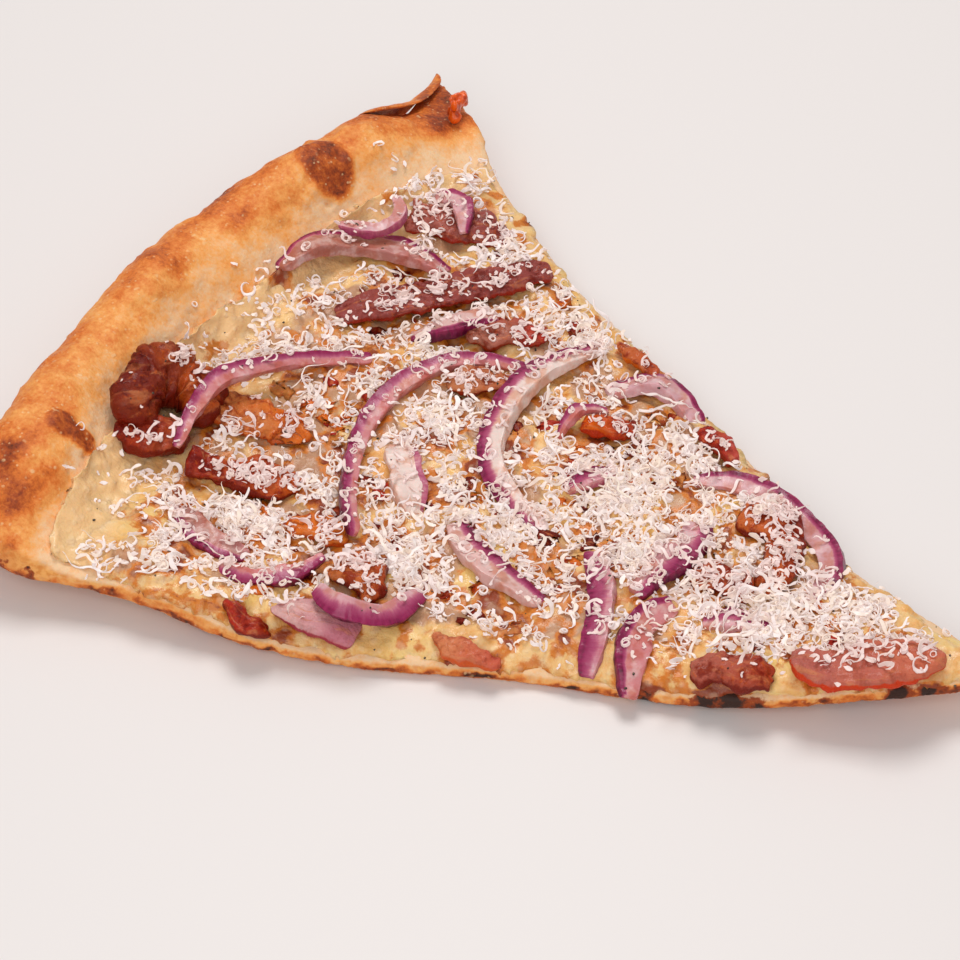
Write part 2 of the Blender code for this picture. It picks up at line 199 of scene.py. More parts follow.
class Bench:
    """The modelling bench: the moves that the pieces are made with.

    Attributes:
        DOUBLES: How close two vertices of a solid are when they are one, in millimetres.
        FLATTEST: How far two triangles may be folded and still be paired, in degrees.
        SQUAREST: How far from square the pair may be, in degrees.
        SMOOTHING: How far one round of smoothing goes, as a share.
    """

    DOUBLES = 0.02
    FLATTEST = 50.0
    SQUAREST = 60.0
    SMOOTHING = 0.6

    @staticmethod
    def hold(*pieces: bpy.types.Object) -> None:
        """Leaves edit mode and selects these pieces alone, with the first one active.

        Args:
            *pieces: The pieces, or none to deselect everything.
        """
        if bpy.context.object and bpy.context.object.mode != "OBJECT":
            bpy.ops.object.mode_set(mode="OBJECT")
        bpy.ops.object.select_all(action="DESELECT")
        for piece in pieces:
            piece.select_set(True)
        if pieces:
            bpy.context.view_layer.objects.active = pieces[0]

    @staticmethod
    def copy_of(node: bpy.types.Object, name: str) -> bpy.types.Object:
        """A workable copy of a solid: its doubles merged and its triangles paired into quads.

        Args:
            node: The solid, which is left alone.
            name: The copy's name.

        Returns:
            The copy.
        """
        mesh = node.data.copy()
        mesh.name = name
        mesh.materials.clear()
        piece = bpy.data.objects.new(name, mesh)
        bpy.context.scene.collection.objects.link(piece)
        Bench.hold(piece)
        bpy.ops.object.mode_set(mode="EDIT")
        bpy.ops.mesh.select_all(action="SELECT")
        bpy.ops.mesh.remove_doubles(threshold=Bench.DOUBLES * MM)
        bpy.ops.mesh.tris_convert_to_quads(
            face_threshold=math.radians(Bench.FLATTEST), shape_threshold=math.radians(Bench.SQUAREST)
        )
        bpy.ops.object.mode_set(mode="OBJECT")
        return piece

    @staticmethod
    def modify(piece: bpy.types.Object, kind: str, **settings: object) -> None:
        """Puts a modifier on a piece and applies it.

        Args:
            piece: The piece.
            kind: The modifier's type.
            **settings: Its values.
        """
        Bench.hold(piece)
        made = piece.modifiers.new(kind.title(), kind)
        for key, value in settings.items():
            setattr(made, key, value)
        bpy.ops.object.modifier_apply(modifier=made.name)

    @staticmethod
    def even(piece: bpy.types.Object, voxel: float, smoothing: int = 2) -> None:
        """Rounds a faceted piece off and gives it an even, fine mesh.

        Args:
            piece: The piece.
            voxel: The size of the new faces, in millimetres.
            smoothing: How many times the new mesh is smoothed.
        """
        Bench.modify(piece, "SUBSURF", levels=1, render_levels=1)
        Bench.modify(piece, "REMESH", mode="VOXEL", voxel_size=voxel * MM, adaptivity=0.0)
        Bench.modify(piece, "SMOOTH", factor=Bench.SMOOTHING, iterations=smoothing)

    @staticmethod
    def made_of(name: str, points: np.ndarray, faces: np.ndarray) -> bpy.types.Object:
        """Makes one piece out of many copies of small models.

        Args:
            name: The piece's name.
            points: Its vertices in millimetres, one per row.
            faces: The numbers of each face's vertices, one face per row.

        Returns:
            The piece.
        """
        mesh = bpy.data.meshes.new(name)
        mesh.from_pydata((points * MM).tolist(), [], faces.tolist())
        piece = bpy.data.objects.new(mesh.name, mesh)
        bpy.context.scene.collection.objects.link(piece)
        return piece

    @staticmethod
    def taken_apart(model: bpy.types.Object) -> tuple[np.ndarray, np.ndarray]:
        """Takes a small model off the bench, to be copied.

        Args:
            model: The model, whose faces all have the same number of corners.

        Returns:
            Its vertices in millimetres, and the numbers of each face's vertices.
        """
        points = Bench.points(model)
        faces = np.array([tuple(face.vertices) for face in model.data.polygons])
        bpy.data.objects.remove(model)
        return points, faces

    @staticmethod
    def crumb(
        radius: float, fineness: int, ruffle: float, seed: int, stretch: tuple[float, float, float]
    ) -> tuple[np.ndarray, np.ndarray]:
        """Models one uneven crumb about its own middle, to be copied.

        Args:
            radius: Its radius in millimetres.
            fineness: How finely it is divided.
            ruffle: How far its vertices are moved, in millimetres.
            seed: What they are moved by.
            stretch: Its size along X, Y and Z, as a share.

        Returns:
            Its vertices in millimetres, and the numbers of each face's vertices.
        """
        Bench.hold()
        bpy.ops.mesh.primitive_ico_sphere_add(subdivisions=fineness, radius=radius * MM)
        crumb = bpy.context.object
        bpy.ops.object.mode_set(mode="EDIT")
        bpy.ops.mesh.select_all(action="SELECT")
        bpy.ops.transform.vertex_random(offset=ruffle * MM, seed=seed)
        bpy.ops.transform.resize(value=stretch)
        bpy.ops.object.mode_set(mode="OBJECT")
        return Bench.taken_apart(crumb)

    @staticmethod
    def points(piece: bpy.types.Object) -> np.ndarray:
        """Reads a piece's vertices.

        Args:
            piece: The piece.

        Returns:
            Their places in millimetres, one per row.
        """
        flat = np.empty(len(piece.data.vertices) * 3)
        piece.data.vertices.foreach_get("co", flat)
        return flat.reshape(-1, 3) / MM

    @staticmethod
    def normals(piece: bpy.types.Object) -> np.ndarray:
        """Reads which way a piece's surface faces.

        Args:
            piece: The piece.

        Returns:
            The direction at each vertex, one per row.
        """
        flat = np.empty(len(piece.data.vertices) * 3, dtype=np.float32)
        piece.data.vertex_normals.foreach_get("vector", flat)
        return flat.reshape(-1, 3).astype(float)

    @staticmethod
    def place(piece: bpy.types.Object, points: np.ndarray) -> None:
        """Moves the piece's vertices to these places, in millimetres."""
        piece.data.vertices.foreach_set("co", (points * MM).astype(np.float32).ravel())
        piece.data.update()

    @staticmethod
    def paint(piece: bpy.types.Object, name: str, values: np.ndarray) -> None:
        """Stores values for the finishes to read.

        Args:
            piece: The piece.
            name: What the finish calls them.
            values: One number per vertex, or three.
        """
        kind = "FLOAT" if values.ndim == 1 else "FLOAT_VECTOR"
        layer = piece.data.attributes.new(name, kind, "POINT")
        key = "value" if values.ndim == 1 else "vector"
        layer.data.foreach_set(key, values.astype(np.float32).ravel())

    @staticmethod
    def dress(piece: bpy.types.Object, finish: bpy.types.Material, slot: str, *nodes: str) -> None:
        """Smooths a piece's shading, gives it its finish, and lets it stand for its solids.

        Args:
            piece: The finished piece.
            finish: Its material.
            slot: A name for that material. It is not used.
            *nodes: The solids that it stands for, if any.
        """
        piece.data.materials.clear()
        piece.data.materials.append(finish)
        piece.data.shade_smooth()
        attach(piece, "root")
        if nodes:
            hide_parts(*nodes)
        log.info("%s: %d faces", piece.name, len(piece.data.polygons))


class Tree:
    """A material's nodes, added one by one. Each method gives back the socket to go on from."""

    def __init__(self, name: str) -> None:
        """Starts a material with one Principled shader and the place on the object.

        Args:
            name: The material's name.
        """
        self.material = bpy.data.materials.new(name)
        self.material.use_nodes = True
        self.nodes = self.material.node_tree.nodes
        self.links = self.material.node_tree.links
        self.shader = self.nodes["Principled BSDF"]
        self.spot = self.nodes.new("ShaderNodeTexCoord").outputs["Object"]

    def feed(self, socket: bpy.types.NodeSocket, value: object) -> None:
        """Links a socket, or sets it.

        Args:
            socket: The input.
            value: Another socket, or a number or colour.
        """
        if isinstance(value, bpy.types.NodeSocket):
            self.links.new(value, socket)
        elif isinstance(value, tuple) and len(value) == 3 and socket.type == "RGBA":
            socket.default_value = (*value, 1.0)
        else:
            socket.default_value = value

    def attribute(self, name: str, output: str = "Fac") -> bpy.types.NodeSocket:
        """Reads what a piece stores for each vertex.

        Args:
            name: The name it is stored under.
            output: "Fac" for a number, "Vector" for a place or "Color" for a colour.

        Returns:
            Its value.
        """
        made = self.nodes.new("ShaderNodeAttribute")
        made.attribute_name = name
        return made.outputs[output]

    def noise(
        self,
        size: float,
        detail: float = 3.0,
        roughness: float = 0.55,
        spot: bpy.types.NodeSocket | None = None,
        warp: float = 0.0,
    ) -> bpy.types.NodeSocket:
        """Cloudy noise.

        Args:
            size: How far apart its swells are, in millimetres.
            detail: How many finer layers it has.
            roughness: How strong those are.
            spot: Where it is read, if not at the place on the object.
            warp: How much it is stirred.

        Returns:
            Its value, 0 to 1.
        """
        made = self.nodes.new("ShaderNodeTexNoise")
        self.feed(made.inputs["Vector"], spot or self.spot)
        made.inputs["Scale"].default_value = 1 / (size * MM) if spot is None else 1 / size
        made.inputs["Detail"].default_value = detail
        made.inputs["Roughness"].default_value = roughness
        made.inputs["Distortion"].default_value = warp
        return made.outputs["Fac"]

    def cells(self, size: float) -> bpy.types.NodeSocket:
        """Rounded cells like bubbles.

        Args:
            size: How far apart they are, in millimetres.

        Returns:
            The distance to the middle of the nearest one, as a share of their size.
        """
        made = self.nodes.new("ShaderNodeTexVoronoi")
        made.feature = "SMOOTH_F1"
        self.feed(made.inputs["Vector"], self.spot)
        made.inputs["Scale"].default_value = 1 / (size * MM)
        return made.outputs["Distance"]

    def math(self, action: str, *numbers: object) -> bpy.types.NodeSocket:
        """One step of arithmetic.

        Args:
            action: The node's name for it.
            *numbers: The two or three numbers or sockets that it takes.

        Returns:
            The result.
        """
        made = self.nodes.new("ShaderNodeMath")
        made.operation = action
        for socket, number in zip(made.inputs, numbers):
            self.feed(socket, number)
        return made.outputs[0]

    def stretch(self, value: object, low: float, high: float) -> bpy.types.NodeSocket:
        """Spreads part of a value's range over 0 to 1, with level ends.

        Args:
            value: The value.
            low: What becomes 0.
            high: What becomes 1. It may be below low.

        Returns:
            The share.
        """
        made = self.nodes.new("ShaderNodeMapRange")
        made.interpolation_type = "SMOOTHSTEP"
        self.feed(made.inputs["Value"], value)
        made.inputs["From Min"].default_value = low
        made.inputs["From Max"].default_value = high
        return made.outputs["Result"]

    def ramp(self, value: object, stops: Sequence[tuple[float, Colour]]) -> bpy.types.NodeSocket:
        """Colours along a value.

        Args:
            value: The value.
            stops: The places and their colours, in order.

        Returns:
            The colour.
        """
        made = self.nodes.new("ShaderNodeValToRGB")
        self.feed(made.inputs["Fac"], value)
        band = made.color_ramp.elements
        while len(band) < len(stops):
            band.new(0.5)
        for element, (place, colour) in zip(band, stops):
            element.position = place
            element.color = (*colour, 1.0)
        return made.outputs["Color"]

    def mix(self, share: object, one: object, two: object, blend: str = "MIX") -> bpy.types.NodeSocket:
        """Mixes two colours.

        Args:
            share: How much of the second there is, from 0 to 1.
            one: The first colour.
            two: The second colour.
            blend: How they are mixed.

        Returns:
            The mixed colour.
        """
        made = self.nodes.new("ShaderNodeMix")
        made.data_type = "RGBA"
        made.blend_type = blend
        self.feed(made.inputs[0], share)
        self.feed(made.inputs[6], one)
        self.feed(made.inputs[7], two)
        return made.outputs[2]

    def bump(self, height: object, depth: float, under: object = None) -> bpy.types.NodeSocket:
        """Turns a height into relief.

        Args:
            height: The height, from 0 to 1.
            depth: How deep the relief is, in millimetres.
            under: A coarser relief that it lies on, if any.

        Returns:
            The direction that the relief faces.
        """
        made = self.nodes.new("ShaderNodeBump")
        made.inputs["Strength"].default_value = 1.0
        made.inputs["Distance"].default_value = depth * MM
        self.feed(made.inputs["Height"], height)
        if under is not None:
            self.feed(made.inputs["Normal"], under)
        return made.outputs["Normal"]

    def finish(self, **sockets: object) -> bpy.types.Material:
        """Sets the shader's sockets.

        Args:
            **sockets: Their values, by name, with underscores for spaces.

        Returns:
            The material.
        """
        for key, value in sockets.items():
            self.feed(self.shader.inputs[key.replace("_", " ")], value)
        return self.material


@dataclass(frozen=True)
class CrustFinish:
    """Baked dough: pale where it was covered, golden on the crown, brown and black where it scorched."""

    pale: Colour = (0.87, 0.58, 0.34)
    gold: Colour = (0.90, 0.39, 0.105)
    tan: Colour = (0.72, 0.185, 0.030)
    brown: Colour = (0.36, 0.062, 0.012)
    black: Colour = (0.045, 0.018, 0.012)
    crumb: Colour = (0.90, 0.43, 0.12)
    deep_crumb: Colour = (0.78, 0.29, 0.060)
    # Pale dots on the small bubbles: partly paler dough, partly painted highlights
    bubble_pale_and_glint: Colour = (0.93, 0.62, 0.32)
    roughness: float = 0.52

    def material(self) -> bpy.types.Material:
        """The finish as a material.

        Returns:
            It reads the attributes toast, crumb and char.
        """
        tree = Tree("baked_dough")
        mottle = tree.math("SUBTRACT", tree.noise(4.5, 5.0, 0.66), 0.5)
        speckle = tree.math("SUBTRACT", tree.noise(1.1, 4.0, 0.68), 0.5)
        toast = tree.math("MULTIPLY_ADD", mottle, 0.62, tree.attribute("toast"))
        toast = tree.math("ADD", toast, tree.math("MULTIPLY", speckle, 0.52))
        skin = tree.ramp(
            toast,
            (
                (0.05, self.pale),
                (0.34, self.gold),
                (0.58, self.tan),
                (0.80, self.brown),
                (1.0, self.black),
            ),
        )
        # Small bubbles: pale dots that are partly paler dough and partly painted highlights, and their relief
        blister = tree.stretch(tree.cells(1.35), 0.30, 0.14)
        blister = tree.math("MULTIPLY", blister, tree.stretch(tree.noise(3.0, 2.0), 0.45, 0.65))
        skin = tree.mix(tree.math("MULTIPLY", blister, 0.55), skin, self.bubble_pale_and_glint)
        crumb = tree.mix(tree.stretch(tree.noise(1.5, 3.0), 0.42, 0.62), self.crumb, self.deep_crumb)
        skin = tree.mix(tree.attribute("crumb"), skin, crumb)
        edge = tree.math("ADD", tree.attribute("char"), tree.math("MULTIPLY", mottle, 0.9))
        edge = tree.math("ADD", edge, tree.math("MULTIPLY", speckle, 0.7))
        skin = tree.mix(tree.stretch(edge, 0.22, 0.48), skin, self.brown)
        skin = tree.mix(tree.stretch(edge, 0.50, 0.85), skin, self.black)
        grain = tree.math("ADD", tree.noise(0.6, 3.0, 0.6), tree.math("MULTIPLY", blister, 0.5))
        relief = tree.bump(grain, 0.14, tree.bump(tree.noise(2.6, 4.0, 0.6), 0.34))
        return tree.finish(
            Base_Color=skin,
            Roughness=self.roughness,
            Subsurface_Weight=0.12,
            Subsurface_Radius=(1.0, 0.5, 0.25),
            Subsurface_Scale=0.0015,
            Specular_IOR_Level=0.22,
            Normal=relief,
        )


@dataclass(frozen=True)
class CheeseFinish:
    """Melted cheese and cream: milky, with yellow pools, oily gold and baked brown spots."""

    cream: Colour = (0.80, 0.40, 0.115)
    milk: Colour = (0.88, 0.57, 0.25)
    yellow: Colour = (0.88, 0.59, 0.19)
    gold: Colour = (0.66, 0.20, 0.022)
    brown: Colour = (0.29, 0.045, 0.008)
    mauve: Colour = (0.42, 0.19, 0.13)
    border: Colour = (0.90, 0.56, 0.27)
    curd: Colour = (0.94, 0.76, 0.52)

    def material(self) -> bpy.types.Material:
        """The finish as a material.

        Returns:
            It reads the attributes bake, yellow and slope, and the mauve patches of stain and painted shade.
        """
        tree = Tree("melted_cheese_cream")
        broad = tree.noise(6.0, 4.0, 0.62, warp=0.8)
        fine = tree.noise(1.8, 4.0, 0.65)
        base = tree.mix(tree.stretch(broad, 0.38, 0.60), self.cream, self.milk)
        drifts = tree.stretch(tree.noise(13.0, 2.0), 0.52, 0.68)
        pool = tree.math("MAXIMUM", tree.attribute("yellow"), drifts)
        base = tree.mix(tree.math("MULTIPLY", pool, 0.85), base, self.yellow)
        # Mauve patches among the toppings: partly stains, partly painted shade under the shreds
        stain_and_shade = tree.math("ADD", tree.attribute("stain_and_shade"), tree.math("SUBTRACT", broad, 0.5))
        base = tree.mix(tree.math("MULTIPLY", tree.stretch(stain_and_shade, 0.15, 0.5), 0.75), base, self.mauve)
        slope = tree.math("MULTIPLY", tree.stretch(tree.attribute("slope"), 0.1, 1.0), 0.9)
        base = tree.mix(slope, base, self.border)
        heat = tree.math("ADD", tree.attribute("bake"), tree.math("SUBTRACT", fine, 0.5))
        base = tree.mix(tree.stretch(heat, 0.14, 0.40), base, self.gold)
        base = tree.mix(tree.stretch(heat, 0.46, 0.80), base, self.brown)
        curd = tree.stretch(tree.cells(2.2), 0.42, 0.12)
        base = tree.mix(tree.math("MULTIPLY", curd, 0.22), base, self.curd)
        sheen = tree.math("MULTIPLY_ADD", tree.noise(4.0, 2.0), 0.28, 0.20)
        relief = tree.bump(curd, 0.12, tree.bump(fine, 0.50, tree.bump(tree.noise(0.8, 2.0), 0.10)))
        return tree.finish(
            Base_Color=base,
            Roughness=sheen,
            Specular_IOR_Level=0.32,
            Coat_Weight=0.18,
            Coat_Roughness=0.08,
            Subsurface_Weight=0.22,
            Subsurface_Radius=(1.0, 0.72, 0.42),
            Subsurface_Scale=0.0022,
            Normal=relief,
        )


@dataclass(frozen=True)
class BaconFinish:
    """Cooked bacon: each piece's own reds and browns, fat streaks, oil, and painted shade in folds and
    hollows.
    """

    fat: Colour = (0.66, 0.23, 0.09)
    amber: Colour = (0.62, 0.11, 0.006)
    shade: Colour = (0.52, 0.22, 0.15)
    # Painted shade for the folds and low places
    dark: Colour = (0.050, 0.005, 0.002)

    def material(self) -> bpy.types.Material:
        """The finish as a material.

        Returns:
            It reads the attributes strip, edge, crease, mottle, face and fringe.
        """
        tree = Tree("cooked_bacon_slices")
        grain = tree.noise(1.0, 3.0, 0.6, spot=tree.attribute("strip", "Vector"), warp=0.5)
        blotch = tree.noise(3.6, 5.0, 0.68)
        fine = tree.noise(1.3, 4.0, 0.65)
        mottle = tree.attribute("mottle")
        streaks = tree.math("MULTIPLY", tree.stretch(grain, 0.54, 0.70), 0.55)
        meat = tree.mix(streaks, tree.attribute("face", "Color"), self.fat)
        seared = tree.math("MULTIPLY", tree.stretch(fine, 0.54, 0.68), 0.5)
        meat = tree.mix(tree.math("MULTIPLY", seared, mottle), meat, self.amber)
        shaded = tree.math("MULTIPLY", tree.stretch(blotch, 0.52, 0.36), mottle)
        meat = tree.mix(shaded, meat, self.shade, "MULTIPLY")
        uneven = tree.math("SUBTRACT", tree.noise(2.2, 4.0, 0.65), 0.5)
        rim = tree.math("ADD", tree.attribute("edge"), tree.math("MULTIPLY", uneven, 1.2))
        meat = tree.mix(tree.stretch(rim, 0.25, 0.60), meat, tree.attribute("fringe", "Color"))
        # Painted shade: darker in the folds and low places, made uneven by noise
        fold_shade = tree.math("ADD", tree.attribute("crease"), tree.math("MULTIPLY", uneven, 0.9))
        meat = tree.mix(tree.stretch(fold_shade, 0.50, 1.25), meat, self.dark)
        relief = tree.bump(fine, 0.50, tree.bump(tree.noise(0.6, 3.0), 0.14, tree.bump(grain, 0.40)))
        return tree.finish(
            Base_Color=meat,
            Roughness=0.34,
            Specular_IOR_Level=0.14,
            Coat_Weight=0.10,
            Coat_Roughness=0.06,
            Subsurface_Weight=0.12,
            Subsurface_Radius=(1.0, 0.3, 0.2),
            Subsurface_Scale=0.0015,
            Normal=relief,
        )


@dataclass(frozen=True)
class OnionFinish:
    """Red onion: dark purple skin with fine veins across it, fading to wet, clear flesh."""

    rind: Colour = (0.110, 0.002, 0.028)
    purple: Colour = (0.30, 0.015, 0.088)
    violet: Colour = (0.43, 0.075, 0.165)
    lilac: Colour = (0.60, 0.20, 0.26)
    white: Colour = (0.86, 0.70, 0.66)
    warm: Colour = (0.88, 0.62, 0.50)

    def material(self) -> bpy.types.Material:
        """The finish as a material.

        Returns:
            It reads the attributes depth, veins and flesh.
        """
        tree = Tree("red_onion_strips")
        veins = tree.noise(1.0, 3.0, 0.65, spot=tree.attribute("veins", "Vector"))
        wander = tree.math("MULTIPLY", tree.math("SUBTRACT", tree.noise(3.5, 3.0), 0.5), 0.30)
        depth = tree.math("ADD", tree.attribute("depth"), wander)
        depth = tree.math("ADD", depth, tree.math("MULTIPLY", tree.math("SUBTRACT", veins, 0.5), 0.34))
        skin = tree.ramp(
            depth,
            (
                (0.02, self.rind),
                (0.16, self.purple),
                (0.45, self.violet),
                (0.66, self.lilac),
            ),
        )
        pale = tree.math("MULTIPLY", tree.stretch(tree.noise(3.4, 3.0), 0.48, 0.66), 0.34)
        flesh = tree.mix(pale, tree.attribute("flesh", "Color"), self.white)
        flesh = tree.mix(tree.stretch(tree.noise(5.0, 3.0), 0.44, 0.62), flesh, self.warm, "MULTIPLY")
        layered = tree.mix(tree.stretch(depth, 0.52, 0.78), skin, flesh)
        relief = tree.bump(veins, 0.09, tree.bump(tree.noise(1.4, 3.0), 0.22))
        return tree.finish(
            Base_Color=layered,
            Roughness=0.34,
            Specular_IOR_Level=0.30,
            Coat_Weight=0.12,
            Coat_Roughness=0.08,
            Subsurface_Weight=0.35,
            Subsurface_Radius=(1.0, 0.55, 0.55),
            Subsurface_Scale=0.0022,
            Normal=relief,
        )


@dataclass(frozen=True)
class GratedFinish:
    """Finely grated hard cheese: white, faintly warm, with a painted glow for light through thin shreds."""

    white: Colour = (0.92, 0.86, 0.84)
    warm: Colour = (0.90, 0.78, 0.64)
    # Pink of the toppings below: painted light seen through thin shreds
    painted_show_through: Colour = (0.80, 0.58, 0.55)
    # The colour of the painted glow, which stands in for light shining through the shreds
    light: Colour = (1.0, 0.86, 0.82)
    painted_glow: float = 0.10

    def material(self) -> bpy.types.Material:
        """The finish as a material.

        Returns:
            It reads the attribute warmth, and the painted pink of the toppings below seen through thin
            shreds.
        """
        tree = Tree("grated_hard_cheese")
        tone = tree.math("ADD", tree.attribute("warmth"), tree.math("SUBTRACT", tree.noise(2.0, 2.0), 0.5))
        base = tree.mix(tree.stretch(tone, 0.25, 1.0), self.white, self.warm)
        return tree.finish(
            # Painted pink of the red toppings below, seen through thin shreds
            Base_Color=tree.mix(tree.attribute("painted_show_through"), base, self.painted_show_through),
            Roughness=0.40,
            # Painted glow: the shreds give off a little light of their own
            Emission_Color=self.light,
            Emission_Strength=self.painted_glow,
            Normal=tree.bump(tree.noise(0.5, 3.0, 0.6), 0.08),
        )


@dataclass(frozen=True)
class SpeckFinish:
    """Small dark specks: cracked pepper and bits of herb."""

    dark: Colour = (0.025, 0.018, 0.014)
    light: Colour = (0.16, 0.11, 0.07)

    def material(self) -> bpy.types.Material:
        """The finish as a material.

        Returns:
            It reads no attributes.
        """
        tree = Tree("cracked_pepper")
        return tree.finish(
            Base_Color=tree.mix(tree.stretch(tree.noise(0.5, 2.0), 0.4, 0.65), self.dark, self.light),
            Roughness=0.7,
        )


@dataclass(frozen=True)
class ToastedFinish:
    """Cheese that ran over the rim and toasted to a glassy orange."""

    orange: Colour = (0.84, 0.120, 0.004)
    brown: Colour = (0.46, 0.040, 0.003)

    def material(self) -> bpy.types.Material:
        """The finish as a material.

        Returns:
            It reads no attributes.
        """
        tree = Tree("toasted_cheese")
        return tree.finish(
            Base_Color=tree.mix(tree.stretch(tree.noise(2.0, 3.0), 0.4, 0.7), self.orange, self.brown),
            Roughness=0.28,
            Subsurface_Weight=0.25,
            Subsurface_Radius=(1.0, 0.4, 0.1),
            Subsurface_Scale=0.0015,
            Normal=tree.bump(tree.noise(1.2, 3.0), 0.2),
        )


@dataclass(frozen=True)
class FloorFinish:
    """A plain pale table."""

    pale: Colour = (0.80, 0.755, 0.74)

    def material(self) -> bpy.types.Material:
        """The finish as a material."""
        tree = Tree("pale_table")
        return tree.finish(Base_Color=self.pale, Roughness=0.55)


# Where the near cut scorched: x, y, radius, strength
CHARS = (
    (54, -50, 3.6, 1.1),
    (66, -46, 3.6, 1.1),
    (72, -44, 4.4, 1.3),
    (78, -42, 2.6, 1.0),
    (85, -39, 1.8, 0.8),
    (92, -34, 2.8, 1.1),
    (103, -25, 3.8, 1.2),
    (109, -21, 3.8, 1.2),
    (-80, -101, 1.8, 0.8),
    (-74, -101, 1.6, 0.8),
    (-86, -102, 1.5, 0.7),
)


# The hollow in the near cut: the middle's x, half its length, the middle's height, half its height
GAPE = (-48, 15, 6.0, 4.5)


def gape(points: np.ndarray, above: np.ndarray, inward: np.ndarray) -> tuple[np.ndarray, np.ndarray]:
    """Where the near cut gapes: a smooth golden hollow under a dark seam.

    Args:
        points: Places in millimetres, one per row.
        above: Their heights above the underside.
        inward: Their distances from the near cut.

    Returns:
        How far each place lies in the hollow, and on the seam, from 0 to 1.
    """
    middle, half_length, level, half_height = GAPE
    up = above + np.maximum(inward, 0)
    lens = np.hypot((points[:, 0] - middle) / half_length, (up - level) / half_height)
    lens += 0.2 * clouds(points, 6.0, 22)
    near = ease((9 - inward) / 3)
    hollow = near * ease((1.0 - lens) / 0.2)
    seam = near * ease((up - 5) / 2) * np.exp(-(((lens - 1) / 0.14) ** 2))
    return hollow, seam


